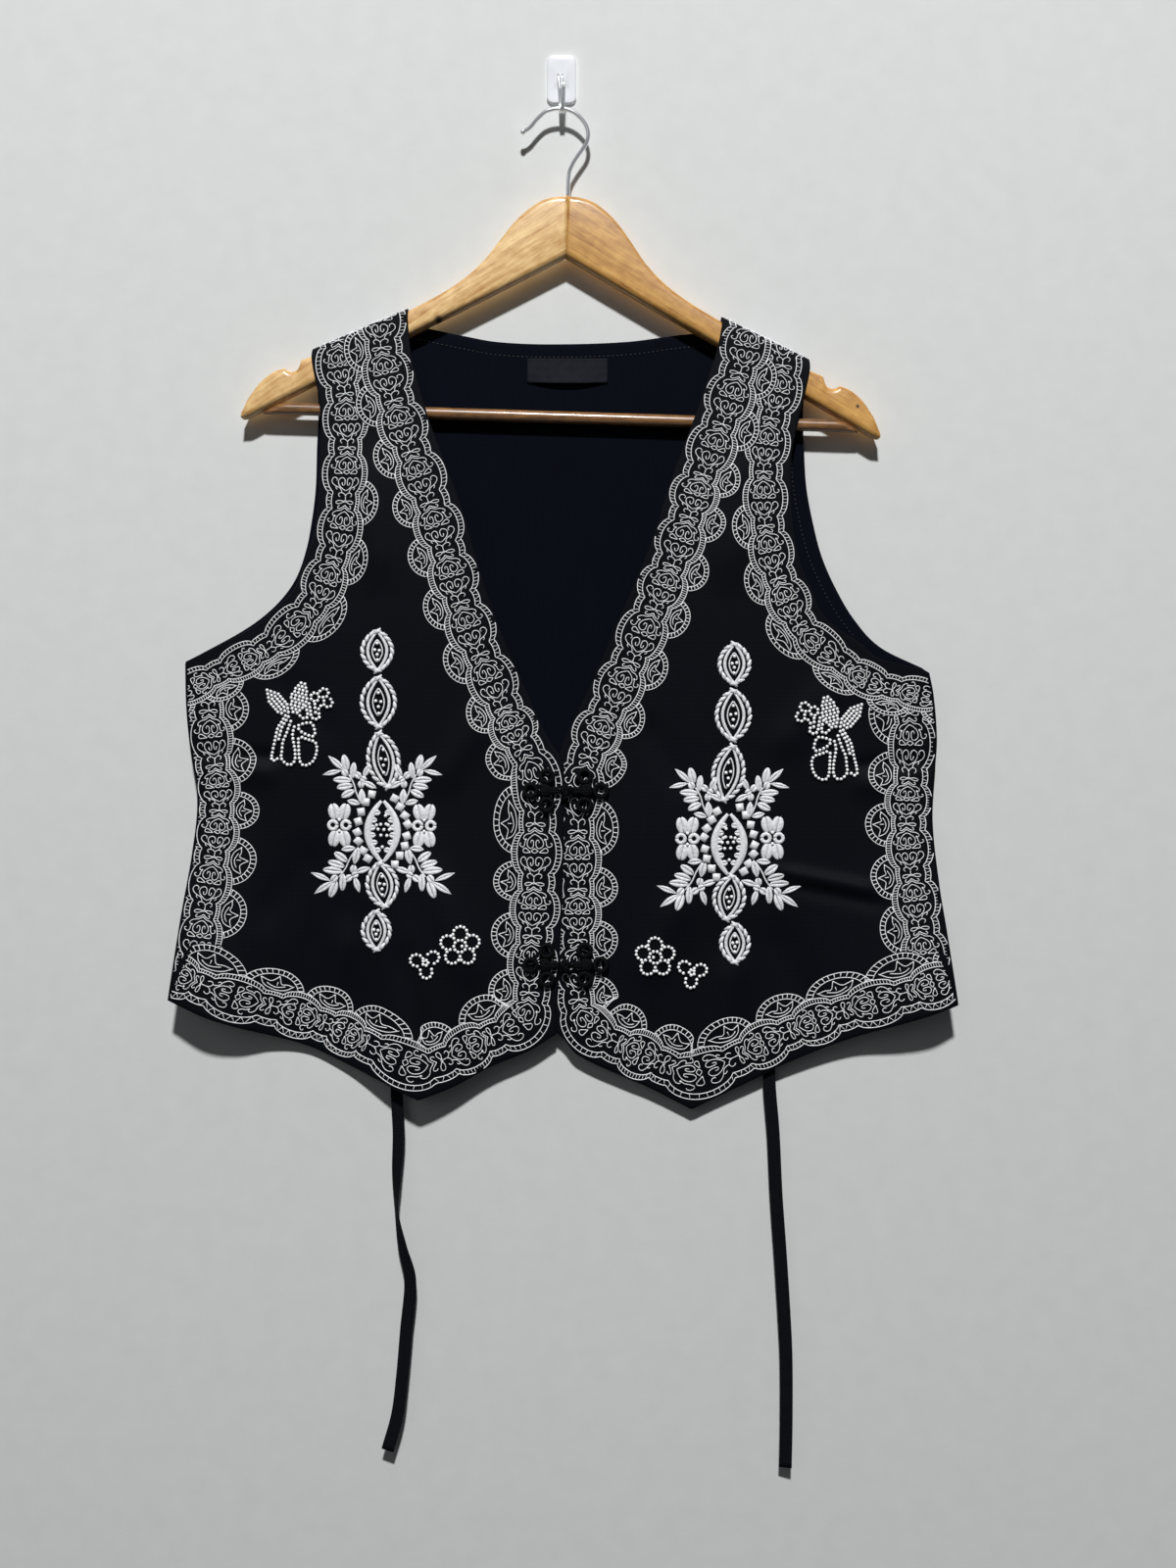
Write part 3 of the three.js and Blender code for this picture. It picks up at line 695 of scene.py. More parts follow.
# Navy-black cotton takes in nearly all light, and only its creases catch some.
COTTON = PlainWeave("navy_black_cotton", "#020306", "#080b16", roughness=0.6, sheen=0.01, specular=0.065)
# The plain back looks flatter and a little bluer.
BACK_COTTON = PlainWeave("navy_black_cotton_inside", "#03050b", "#080e1c", roughness=0.9, sheen=0.01,
                         specular=0.06)
# Cotton thread is matt and bright, so each run reads as a raised white line; each stitch is painted darker in its dip,
# a painted shade.
THREAD = StitchThread("white_cotton_thread", "#dcdde2", "#ffffff", roughness=0.5, sheen=0.2)
# Satin stitch lies in parallel strands: glossier, with painted shade in the grooves between them and a painted
# highlight on each strand.
SATIN = StitchThread("white_satin_stitch", "#b4b6bd", "#fbfbfc", roughness=0.38, sheen=0.1, stitch=0.9)
# Every glass bead carries a sharp highlight.
PEARL = Finish("glass_seed_beads", "#e4e5ea", "#ffffff", roughness=0.16, coat=0.6)
# Sewing thread is barely lighter than the cloth that it holds, with the same painted shade in each stitch's dip.
BLACK_THREAD = StitchThread("black_sewing_thread", "#050609", "#141722", roughness=0.6)
# Twisted cord is the darkest thing here, with dull glints from its shine, and each strand painted darker in its dips
# and lighter on its crests: painted shade and highlight.
CORD = StitchThread("black_rayon_cord", "#010102", "#040508", roughness=0.65, specular=0.08, stitch=3.0)
# Folded cotton tape is matt and a little greyer than the fronts.
TAPE = TapeWeave("black_cotton_tape", "#040508", "#0c0e15", roughness=0.9, specular=0.1)
# The black satin ribbon is painted a little paler than the cloth, a painted sheen, so it reads as a paler patch on the
# back.
LABEL_WEAVE = TapeWeave("black_satin_label", "#0b0c12", "#191c25", roughness=0.75, specular=0.12, rib=0.8)
# The arms are cut from two boards, one brown and one golden, both with a soft varnish shine; the light blotches of
# their figure are partly the wood's own and partly a painted sheen.
BEECH_RIGHT = Varnished("varnished_hardwood_right", "#8f5a22", "#d6a65a", roughness=0.38, coat=0.2,
                        slope=-32.0, knots=((207.9, -235.8, 1.8),))
BEECH_LEFT = Varnished("varnished_hardwood_left", "#a8712f", "#f0cf92", roughness=0.36, coat=0.25,
                       slope=32.0, knots=((-86.1, -174.6, 3.6),))
# The bar's darker wood reads as a brown line under the pale arms.
BAR_WOOD = Varnished("varnished_bar", "#4f321a", "#9c6f40", roughness=0.35, coat=0.35, slope=1.8, grain=2.0)
# Bright plating mirrors the room, and so reads as pale metal.
CHROME = Finish("chromed_steel_wire", "#dcdee1", "#f7f8f9", roughness=0.14, metallic=1.0)
# Moulded plastic looks a colder white than the wall, with a shine on its rounded edge.
ABS = Finish("glossy_white_abs", "#d2d5da", "#e2e4e8", roughness=0.2, coat=0.2)
# Matt paint has no highlight, so only shadows vary its grey.
WALL_PAINT = Finish("matt_wall_paint", "#cacccb", "#d3d5d4", roughness=0.9, specular=0.2)


# ---- how the cloth hangs ----
HEM_DEPTH = through([
    [-274, 24], [-252, 27], [-229, 21.5], [-206, 11.5], [-181, 6], [-150, 7.5], [-105, 19], [-60, 14.5],
    [0, 11], [50, 9], [92, 8], [150, 9.5], [205, 13.5], [240, 21.5], [262, 25], [277, 23]])


def hem_sway(z: Array) -> Array:
    """How far a height takes part in the hem's waves."""
    return smooth(-500, -690, z)


def front_depth(x: Array, z: Array) -> Array:
    """Depth of the fronts: out over the arms, settled below them, then waved along the hem."""
    settled = mix(HANGER_DEPTH + WRAP_RADIUS, SETTLED_DEPTH, smooth(-250, -520, z))
    return mix(settled, HEM_DEPTH(x), hem_sway(z))


def back_depth(x: Array, z: Array) -> Array:
    """Depth of the back: near the wall, and out to the fronts at the side seams."""
    dip = 1.2 * np.exp(-(((x + 165) / 35) ** 2)) * hem_sway(z)
    towards_seam = smooth(190, 262, np.abs(x)) * smooth(-330, -415, z)
    return mix(BACK_DEPTH - dip, front_depth(x, z) - LAP_STEP, towards_seam)


@dataclass(frozen=True)
class Crease:
    """A soft ridge, or a trough where its height is below zero, between two places on a panel."""

    start: tuple[float, float]
    end: tuple[float, float]
    width: float
    height: float

    def depth(self, x: Array, z: Array) -> Array:
        """Height at each place: a bell across the line that dies away at its ends."""
        ax, az = self.start
        bx, bz = self.end
        length = (bx - ax) ** 2 + (bz - az) ** 2
        t = ((x - ax) * (bx - ax) + (z - az) * (bz - az)) / length
        off = ((x - ax - t * (bx - ax)) ** 2 + (z - az - t * (bz - az)) ** 2) / self.width**2
        return self.height * np.exp(-off) * smooth(-0.15, 0.25, t) * smooth(1.15, 0.75, t)


@dataclass
class Strokes:
    """Runs of stitching on a panel, as points of its unrolled cloth.

    Attributes:
        points: (n, 2) place across and unrolled height, run after run.
        run: (n,) the run that each point belongs to.
        width: (n,) half width along the cloth.
        height: (n,) half height away from it.
    """

    points: Array
    run: Array
    width: Array
    height: Array

    @classmethod
    def of(cls, lines: Sequence[Array], width: float, height: float | None = None,
           taper: float = 0.0) -> "Strokes":
        """Strokes of one width, whose ends narrow by the taper's share.

        Args:
            lines: one (n, 2) line for each run.
            width: half width.
            height: half height, or the width.
            taper: 0 for blunt ends, 1 for points.

        Returns:
            The strokes.
        """
        run = np.repeat(np.arange(len(lines)), [len(line) for line in lines])
        share = np.concatenate([np.linspace(0, 1, len(line)) for line in lines])
        belly = 1 - taper * np.abs(2 * share - 1) ** 2.2
        high = width if height is None else height
        return cls(np.vstack(lines), run, width * np.maximum(belly, 0.08), high * np.maximum(belly, 0.15))

    @classmethod
    def joined(cls, *many: "Strokes") -> "Strokes":
        """All of these strokes as one."""
        counts = np.cumsum([0] + [s.run[-1] + 1 if len(s.run) else 0 for s in many])
        runs = [s.run + c for s, c in zip(many, counts)]
        return cls(np.vstack([s.points for s in many]), np.concatenate(runs),
                   np.concatenate([s.width for s in many]), np.concatenate([s.height for s in many]))

    def kept(self, keep: Array) -> "Strokes":
        """Only the points marked, with runs cut where points are left out and stubs dropped."""
        ends = np.concatenate([[True], (self.run[1:] != self.run[:-1]) | (keep[1:] != keep[:-1])])
        parts = np.cumsum(ends)
        sizes = np.bincount(parts)
        keep = keep & (sizes[parts] > 1)
        _, run = np.unique(parts[keep], return_inverse=True)
        return Strokes(self.points[keep], run, self.width[keep], self.height[keep])


class Panel:
    """A piece of cloth that can be stitched on: a map from its unrolled cut to where it hangs."""

    def place(self, x: Array, w: Array) -> Array:
        """The hung point of a point of the unrolled cloth."""
        raise NotImplementedError

    def lifted(self, points: Array, lift: Array) -> tuple[Array, Array]:
        """Points a lift above the middle of the cloth, and the cloth's normals there."""
        x, w = points.T
        across = self.place(x + 0.5, w) - self.place(x - 0.5, w)
        up = self.place(x, w + 0.5) - self.place(x, w - 0.5)
        normal = unit(np.cross(across, up))
        return self.place(x, w) + normal * np.reshape(lift, (-1, 1)), normal

    def stitched(self, name: str, strokes: Strokes, finish: Finish, sides: int = 4,
                 face: float = 1.0) -> bpy.types.Object:
        """Stitching as raised bars on the cloth, sunk into it a little; face -1 is its rear side."""
        lift = (CLOTH / 2 + strokes.height * 0.7) * face
        centre, normal = self.lifted(strokes.points, lift)
        points, faces, along = swept(centre, normal, strokes.run, strokes.width, strokes.height, sides)
        return piece(name, points, faces, finish, along)

    def beaded(self, name: str, points: Array, radius: float) -> bpy.types.Object:
        """Beads sewn on at points of the unrolled cloth."""
        centre, _ = self.lifted(points, np.full(len(points), CLOTH / 2 + radius * 0.8))
        return piece(name, *balls(centre, radius), PEARL)


@dataclass(frozen=True)
class Front(Panel):
    """One front panel: its cut and how it hangs.

    Edge 0 is the viewer's left one. Edges give x for each height, hem gives z for each x, and an
    unrolled height is a height that carries on along the cloth where the strap turns over the arm.
    """

    name: str
    edges: tuple
    tops: tuple[float, float]
    bottoms: tuple[float, float]
    hem: tuple[Run, Run]
    lap: float
    creases: tuple[Crease, ...]

    def edge(self, side: int, height: Array) -> Array:
        """Place across of an edge at each height."""
        return cornered(*self.edges[side])(height)

    def edge_line(self, side: int, share: Array) -> tuple[Array, Array]:
        """An edge's place across and its unrolled height, from the arm down to the hem."""
        height = mix(self.tops[side], self.bottoms[side], share)
        return self.edge(side, height), height - WRAP_RADIUS * (1 - smooth(0, TURN_SHARE, share))

    def turn_start(self, x: Array) -> Array:
        """Height at which the strap starts to turn over the arm."""
        ends = [self.edge(side, np.float64(self.tops[side])) for side in (0, 1)]
        share = (x - ends[0]) / (ends[1] - ends[0])
        return mix(self.tops[0], self.tops[1], np.clip(share, 0, 1)) - WRAP_RADIUS

    def place(self, x: Array, w: Array) -> Array:
        """The hung point of a point of the unrolled cloth.

        Below the strap's turn it is straight ahead at the drape's depth, plus the lap at the
        centre and the creases; above it the cloth goes round the arm in half a circle.

        Args:
            x: place across.
            w: unrolled height.

        Returns:
            Points in millimetres.
        """
        start = self.turn_start(x)
        angle = np.clip((w - start) / WRAP_RADIUS, 0, np.pi)
        over = w > start
        z = np.where(over, start + WRAP_RADIUS * np.sin(angle), w)
        lap = self.lap * LAP_STEP / 2 * (1 - smooth(0, LAP_REACH, np.abs(x)))
        folds = sum(crease.depth(x, z) for crease in self.creases)
        return hung(x, np.where(over, HANGER_DEPTH + WRAP_RADIUS * np.cos(angle),
                                front_depth(x, z) + lap + folds), z)

    def grid(self, rows: int, columns: int) -> Array:
        """Middle points of the whole panel, from the shoulder seam down to the hem.

        Rows run from edge to edge at a level; the lowest ones bend down to the hem, and above
        the first the rows step round the arm.
        """
        share = np.linspace(0, 1, rows)[:, None]
        u = np.linspace(0, 1, columns)[None]
        heights = [mix(self.tops[side], self.bottoms[side], share) for side in (0, 1)]
        x = mix(self.edge(0, heights[0]), self.edge(1, heights[1]), u)
        reach = [self.edge(side, np.float64(self.bottoms[side])) for side in (0, 1)]
        hem_x = mix(reach[0], reach[1], u)
        drop = cornered(*self.hem)(hem_x) - mix(self.bottoms[0], self.bottoms[1], u)
        level = mix(heights[0], heights[1], u)
        w = level + drop * smooth(0.72, 1, share) - WRAP_RADIUS * (1 - smooth(0, TURN_SHARE, share))
        turn = np.linspace(np.pi, 0, 17)[:-1, None] * WRAP_RADIUS
        x = np.vstack([np.repeat(x[:1], len(turn), axis=0), x])
        w = np.vstack([w[:1] + turn, w])
        return self.place(x, w)

    def outline(self, shrink: float = 0.0) -> Array:
        """The unrolled cut as a closed line of points, drawn in by shrink on every side."""
        share = np.linspace(1, 0, 160)
        sides = [np.stack(self.edge_line(side, share), axis=1) for side in (0, 1)]
        tops = [line[-1:] + (0, np.pi * WRAP_RADIUS) for line in sides]
        hem_x = np.linspace(sides[0][0, 0], sides[1][0, 0], 160)
        hem = np.stack([hem_x, cornered(*self.hem)(hem_x)], axis=1)
        line = np.vstack([hem[1:-1], sides[1], tops[1], tops[0], sides[0][::-1]])
        ahead = np.roll(line, -1, axis=0) - np.roll(line, 1, axis=0)
        return line + unit(left_of(ahead)) * shrink

    def build(self) -> bpy.types.Object:
        """The panel's cloth."""
        return piece(self.name, *shell(self.grid(190, 110), CLOTH), COTTON)


def cut(outline: Array) -> dict:
    x, w = outline.T * MM
    area = abs(np.dot(x, np.roll(w, -1)) - np.dot(w, np.roll(x, -1))) / 2
    return {"flat": (round(float(np.ptp(x)), 3), round(float(np.ptp(w)), 3)), "area": round(float(area), 4)}


RIGHT_FRONT = Front(
    name="right_front_cloth",
    edges=(
        ([[-195, -174.5], [-232, -169], [-262, -168], [-307, -170], [-326, -173], [-344, -179],
          [-364, -187], [-377.5, -200], [-390.5, -215.5], [-399.5, -233], [-415, -264]],
         [[-415, -264], [-447, -263.5], [-475, -261], [-512, -256], [-549, -259], [-594, -266],
          [-651.5, -274]]),
        ([[-166.6, -108], [-188, -106.5], [-207, -104], [-247, -92.5], [-304, -71.5], [-366, -53],
          [-397, -41.5], [-434, -25.5], [-464, -12], [-486, 1.5]],
         [[-486, 1.5], [-560, 1], [-677, -4]])),
    tops=(-195, -166.6),
    bottoms=(-651.5, -677),
    hem=([[-274, -651.5], [-245.5, -664], [-223, -672], [-178.5, -686], [-161, -694], [-100, -722]],
         [[-100, -722], [-74.5, -712.5], [-50, -699.5], [-22, -688], [-4, -677]]),
    lap=1.0,
    creases=(
        Crease((-256, -480), (-196, -482), 5, -2.4), Crease((-250, -490), (-200, -494), 9, 2.2),
        Crease((-150, -600), (-172, -668), 12, 3.4), Crease((-112, -615), (-96, -690), 11, -1.8),
        Crease((-95, -560), (-62, -640), 13, 2.7), Crease((-170, -545), (-215, -600), 14, -1.7),
        Crease((-90, -505), (-52, -450), 12, 2.2), Crease((-160, -470), (-205, -420), 12, -1.2),
        Crease((-128, -360), (-135, -270), 14, 2.5)))

LEFT_FRONT = Front(
    name="left_front_cloth",
    edges=(
        ([[-172.3, 113], [-195, 109], [-213, 104], [-234, 97.5], [-289, 77], [-327, 65], [-360, 52],
          [-391, 38.5], [-430, 21.5], [-460, 7], [-480, -1], [-511, -8]],
         [[-511, -8], [-673, -8]]),
        ([[-202, 174], [-229, 169], [-269, 161], [-292, 160], [-316, 161], [-339, 165], [-360, 173],
          [-385, 186], [-403, 211], [-413, 224], [-421, 258]],
         [[-421, 258], [-438, 261.5], [-468, 264], [-490, 263], [-527, 261], [-572, 265],
          [-603, 269.5], [-655, 277]])),
    tops=(-172.3, -202),
    bottoms=(-673, -655),
    hem=([[-8, -673], [0.5, -679], [10.5, -691], [46, -708], [61, -714.5], [92, -730.5]],
         [[92, -730.5], [107, -723], [138, -708], [153, -700], [199, -681], [252, -664],
          [277, -655]]),
    lap=-1.0,
    creases=(
        Crease((262, -486), (206, -487), 5, -2.4), Crease((252, -497), (205, -502), 9, 2.2),
        Crease((150, -562), (226, -577), 5, 3.9), Crease((152, -570), (228, -586), 6, -1.8),
        Crease((120, -622), (112, -690), 12, 3.2), Crease((148, -600), (180, -665), 13, -1.8),
        Crease((84, -580), (58, -640), 12, 2.5), Crease((90, -505), (56, -455), 12, -1.4),
        Crease((150, -480), (200, -425), 13, 2.2), Crease((118, -360), (124, -270), 14, 2.5)))


# ---- the scalloped border ----
@dataclass(frozen=True)
class BorderChart:
    """One repeat of the scalloped border, in mm.

    s runs along the band from the middle of an oval, and t across it towards the cloth's edge.
    Ovals alternate with narrow waists, and a fan stands on the inner side of each waist.
    """

    pitch: float = 39.5
    oval: float = 13.7  # half length of an oval
    waist: float = 6.05  # half length of a waist
    inner_share: float = 0.85  # of the inner half's depth to the outer half's
    outer_rails: Run = ((9.4, 5.8, 1.5), (13.2, 5.8, 1.6))  # distance out, rise over ovals and waists
    inner_rails: Run = ((7.2, 5.2, 1.4), (10.4, 5.8, 0.6))
    fan_base: float = 12.0  # from the axis to a fan's foot
    fan_rims: Run = ((15.5, 13.6), (12.2, 10.6))  # half length and reach of its two arches
    rail_thread: tuple[float, float] = (0.33, 0.4)  # half width and half height
    scroll_thread: tuple[float, float] = (0.29, 0.4)
    fan_thread: tuple[float, float] = (0.31, 0.38)
    rung_thread: tuple[float, float] = (0.2, 0.3)
    outer_rungs: float = 2.5  # spacing
    inner_rungs: float = 1.8
    step: float = 1.15  # spacing of a run's points

    def local(self, s: Array) -> Array:
        """Distance from the middle of the nearest oval."""
        return (s + self.pitch / 2) % self.pitch - self.pitch / 2

    def rail(self, s: Array, base: float, oval_rise: float, waist_rise: float) -> Array:
        """A rail's distance from the axis: base + rise * (1 - (s / half)^2)^0.6 over each arch."""
        near = np.abs(self.local(s))
        on_oval = near < self.oval
        part = np.where(on_oval, near / self.oval, (self.pitch / 2 - near) / self.waist)
        arc = np.maximum(1 - part**2, 0) ** 0.6
        return base + np.where(on_oval, oval_rise, waist_rise) * arc

    def outer(self, s: Array) -> list[Array]:
        """The outer rail's two lines."""
        return [self.rail(s, *row) for row in self.outer_rails]

    def inner(self, s: Array) -> list[Array]:
        """The inner rail's two lines, as distances below the axis."""
        return [self.rail(s, *row) for row in self.inner_rails]

    def depth(self, s: Array, fans: Array, size: Array) -> Array:
        """How far the band reaches to its inner side, with or without fans of the given size."""
        half, reach = self.fan_rims[0]
        off = (self.pitch / 2 - np.abs(self.local(s))) / (half * size[:, 0])
        fan = self.fan_base + reach * size[:, 1] * np.sqrt(np.maximum(1 - off**2, 0))
        rail = self.inner(s)[1]
        return np.where((off < 1) & fans, np.maximum(fan, rail), rail)

    def scrolls(self) -> list[Array]:
        """Hearts, teardrops, petals and hooked scrolls of one repeat, both halves."""
        heart = [(-12.4, 0), (-11.05, 2.6), (-8.75, 5.25), (-6.1, 6.2), (-4.2, 5.6), (-2.85, 3.3),
                 (-3.85, 1.3), (-6.1, 0.9), (-8.2, 1.3), (-8.3, 2.9), (-6.4, 3.2)]
        teardrop = [(-0.2, 3.3), (-2.2, 5.9), (-3.2, 7.9), (-1.9, 9.5), (-0.2, 8.9), (-0.1, 5.9),
                    (-0.2, 3.3)]
        upper = [(-15, 0), (-13, 3.3), (-12.5, 6.2), (-11.2, 8.5), (-9.6, 9.3), (-8.75, 7.9), (-9.4, 6.9)]
        hook = [(-9.1, 6.6), (-7.6, 8), (-5.5, 8.2), (-3.85, 9.5), (-4.3, 11.6), (-5.8, 12.5),
                (-6.5, 11.1)]
        lower = [(5.3, 7.7), (3.9, 7.05), (2.7, 8.9), (3.7, 10.8), (6, 11.3), (8, 9.8), (9.4, 7.5),
                 (10.4, 4.9), (12.4, 3.4), (13.9, 3.3)]
        curl = [(9.4, 7.5), (10.6, 8), (11.6, 6.7)]
        arm = [(-2.6, 0), (-3.9, 0.1), (-5.2, 1.3), (-5.9, 3.3), (-5.4, 5.2), (-3.9, 5.6), (-2.8, 4.3)]
        petal = [(0.5, 0.7), (-0.1, 3.3), (0.1, 5.9), (1.1, 7.4), (2.1, 6.6), (2, 3.9), (0.5, 0.7)]
        foot = [(3, 0), (3.3, 0.3), (4.9, 2.6), (5.6, 4.9), (4.3, 5.7), (3.4, 4.3)]
        diamond = [(-1.2, 2.6), (0.4, 0), (-1.2, -2.6), (-2.8, 0), (-1.2, 2.6)]
        knot = [(-0.5, 0), (0.3, 0.8), (1.1, 0), (0.3, -0.8), (-0.5, 0)]
        stem = [(-2.6, 0), (-0.5, 0)]
        halves = [np.array(run) for run in (heart, teardrop, upper, hook, lower, curl)]
        halves.append(np.array(heart) * (-1, 1))
        waist = (self.pitch / 2, 0)
        halves += [np.array(run) + waist for run in (arm, petal, foot)]
        halves = [spline(run, self.step) for run in halves]
        whole = [evenly(np.array(diamond, float), self.step)]
        whole += [spline(np.array(run) + waist, self.step) for run in (knot, stem)]
        return whole + halves + [run * (1, -self.inner_share) for run in halves]

    def fan(self) -> list[Array]:
        """One fan: two arched rims, the rungs between them, and a crescent and star inside.

        Its points are measured from the middle of its foot.
        """
        crescent = [(-8.9, -17.4), (-4.9, -13.8), (-0.3, -12.6), (3.9, -13.3), (6.6, -15.1), (8.2, -18.7)]
        star = [[(-8.2, -17), (-5, -17.4), (-2, -16.7), (-0.7, -19.3), (0.2, -21.6)],
                [(0.2, -21.6), (1.3, -19.7), (3.3, -17.5), (6.2, -18), (8.2, -18.7)]]
        inner = [(-4.3, -16), (-1.6, -14.8), (0.7, -14.3), (3, -14.8), (4.9, -15.9)]
        stroke = [(0.3, -17.7), (0.3, -15.4)]
        inside_it = [spline(run, self.step) for run in (crescent, *star, inner, stroke)]
        turn = np.linspace(0, np.pi, 38)
        rims = [np.stack([-half * np.cos(turn), -self.fan_base - reach * np.sin(turn)], axis=1)
                for half, reach in self.fan_rims]
        places = np.arange(len(turn))
        at = np.linspace(0.04, 0.96, 16) * places[-1]
        ends = [np.stack([np.interp(at, places, rim[:, k]) for k in (0, 1)], axis=1) for rim in rims]
        rungs = [np.stack([a, (a + b) / 2, b]) for a, b in zip(*ends)]
        return [run + (0, self.fan_base) for run in inside_it + rims + rungs]


@dataclass(frozen=True)
class Band:
    """A border band along part of a front's edge.

    Attributes:
        axis: (n, 2) its middle line, a millimetre apart.
        hand: 1 where the cloth's edge is on the axis' left hand, -1 on its right.
        marks: distances along the axis of waists that are given, in order.
        sizes: (n, 2) length and depth of the fans at those waists, as shares of the chart's.
        scale: across-scale as (distance, scale) points.
        fans: the stretch of the axis on which waists carry fans.
        zigzag: distance from which the outer rail is wider and its rungs run to and fro.
    """

    axis: Array
    hand: float
    marks: tuple[float, ...]
    sizes: Array
    scale: Run
    fans: tuple[float, float]
    zigzag: float = 1e4
    pitch: float = 37.8  # of the repeats beyond the marks
    chart: BorderChart = BorderChart()

    def normals(self) -> Array:
        """Unit vectors from the axis towards the cloth's edge."""
        ahead = unit(np.gradient(self.axis, axis=0))
        return left_of(ahead) * self.hand

    def charted(self, along: Array) -> Array:
        """Chart distance of a distance along the axis: waists fall on the marks."""
        before = self.marks[0] - self.pitch * np.arange(40, 0, -1)
        after = self.marks[-1] + self.pitch * np.arange(1, 41)
        waists = np.concatenate([before, self.marks, after])
        return np.interp(along, waists, (np.arange(len(waists)) - 40.5) * self.chart.pitch)

    def fan_size(self, s: Array) -> Array:
        """(n, 2) size of the fan nearest to each chart distance."""
        index = np.rint(s / self.chart.pitch - 0.5).astype(int) + 1
        known = (index >= 0) & (index < len(self.sizes))
        return np.where(known[:, None], self.sizes[np.clip(index, 0, len(self.sizes) - 1)], 1.0)

    def outer(self, s: Array) -> tuple[Array, Array]:
        """The outer rail's two lines, further apart on the zigzag stretch."""
        low, high = self.chart.outer(s)
        start = self.charted(np.array([self.zigzag]))[0]
        return low, high + 1.2 * smooth(start, start + 25, s)

    def across(self, along: Array) -> Array:
        """Across-scale at each distance along the axis."""
        keys, values = np.array(self.scale, float).T
        return np.interp(along, keys, values)

    def laid(self, points: Array) -> tuple[Array, Array]:
        """Unrolled places of chart points, and whether the axis reaches that far."""
        places = np.arange(len(self.axis), dtype=float)
        along = np.interp(points[:, 0], self.charted(places), places, left=-1, right=-1)
        turned = self.normals()
        square = np.stack([np.interp(along, places, turned[:, k]) for k in (0, 1)], axis=1)
        spot = np.stack([np.interp(along, places, self.axis[:, k]) for k in (0, 1)], axis=1)
        off = points[:, 1] * self.across(along)
        return spot + unit(square) * off[:, None], along >= 0

    def read(self, places: Array) -> tuple[Array, Array, Array]:
        """Distance along the axis, distance across it and gap to it, for unrolled places."""
        coarse = np.arange(0, len(self.axis), 3)
        nearest = np.concatenate([
            gaps(part, self.axis[coarse]).argmin(axis=1)
            for part in np.array_split(places, len(places) // 4000 + 1)])
        k = coarse[nearest]
        off = places - self.axis[k]
        turned = self.normals()[k]
        tangent = -left_of(turned) * self.hand
        return k + (off * tangent).sum(axis=1), (off * turned).sum(axis=1), np.linalg.norm(off, axis=1)

    def covers(self, places: Array, margin: float) -> Array:
        """Whether unrolled places lie under this band or within a margin of it."""
        along, across, _ = self.read(places)
        fans = (along > self.fans[0]) & (along < self.fans[1])
        s = self.charted(along)
        reach = self.chart.depth(s, fans, self.fan_size(s)) * self.across(along)
        return (across > -reach - margin) & (along > -2) & (along < len(self.axis) + 2)

    def rungs(self, start: float, end: float, spacing: float, rail: Callable, side: float) -> Strokes:
        """Short bars between a rail's two lines, slanted to and fro over the waists."""
        s = np.arange(start, end, spacing)
        lean = np.where(np.abs(self.chart.local(s)) > self.chart.oval, 0.7, 0.15) * (0.65 + 0.35 * side)
        folded = (side > 0) & (s > self.charted(np.array([self.zigzag]))[0])
        slant = np.where(folded, spacing / 2, lean) * np.where(np.arange(len(s)) % 2, 1, -1)
        low = np.stack([s - slant, side * rail(s - slant)[0]], axis=1)
        high = np.stack([s + slant, side * rail(s + slant)[1]], axis=1)
        bars = np.stack([low, (low + high) / 2, high], axis=1)
        return Strokes.of(list(bars), *self.chart.rung_thread)

    def strokes(self) -> Strokes:
        """All of the band's stitching, before other bands and the cloth's edge cut it."""
        chart = self.chart
        start, end = self.charted(np.array([0.0, len(self.axis) - 1.0]))
        s = np.arange(start, end, chart.step)
        rails = [np.stack([s, t], axis=1) for t in self.outer(s)]
        rails += [np.stack([s, -t], axis=1) for t in chart.inner(s)]
        repeats = np.arange(math.floor(start / chart.pitch) - 1, math.ceil(end / chart.pitch) + 1)
        shifts = repeats * chart.pitch
        waists = shifts + chart.pitch / 2
        low, high = self.charted(np.array(self.fans))
        middles = waists[(waists > low) & (waists < high)]
        sized = zip(middles, self.fan_size(middles))
        fan = chart.fan()
        fans = Strokes.of([run * size + (m, -chart.fan_base) for m, size in sized for run in fan],
                          *chart.fan_thread)
        scrolls = chart.scrolls()
        every = Strokes.joined(
            Strokes.of(rails, *chart.rail_thread),
            self.rungs(start, end, chart.outer_rungs, self.outer, 1.0),
            self.rungs(start, end, chart.inner_rungs, chart.inner, -1.0),
            Strokes.of([run + (m, 0) for m in shifts for run in scrolls], *chart.scroll_thread),
            fans.kept(-fans.points[:, 1] > chart.inner(fans.points[:, 0])[1]))
        own = np.abs(every.points[:, 1])
        every.points, reached = self.laid(every.points)
        along, _, gap = self.read(every.points)
        return every.kept(reached & (gap > own * self.across(along) - 1.6))


def drawn_in(line: Array, distance: float) -> Array:
    """A line moved square to itself to its right hand, with points a millimetre apart."""
    even = evenly(line, 1.0)
    return evenly(even - left_of(unit(np.gradient(even, axis=0))) * distance, 1.0)


def softened(line: Array, sigma: float) -> Array:
    """A line rounded by a bell-shaped average along it, with its ends carried on straight."""
    reach = int(3 * sigma)
    bell = np.exp(-0.5 * (np.arange(-reach, reach + 1) / sigma) ** 2)
    k = np.arange(reach, 0, -1)[:, None]
    before, after = line[0] - (line[1] - line[0]) * k, line[-1] + (line[-1] - line[-2]) * k[::-1]
    padded = np.vstack([before, line, after])
    rounded = [np.convolve(padded[:, i], bell / bell.sum(), "valid") for i in (0, 1)]
    return evenly(np.stack(rounded, axis=1), 1.0)


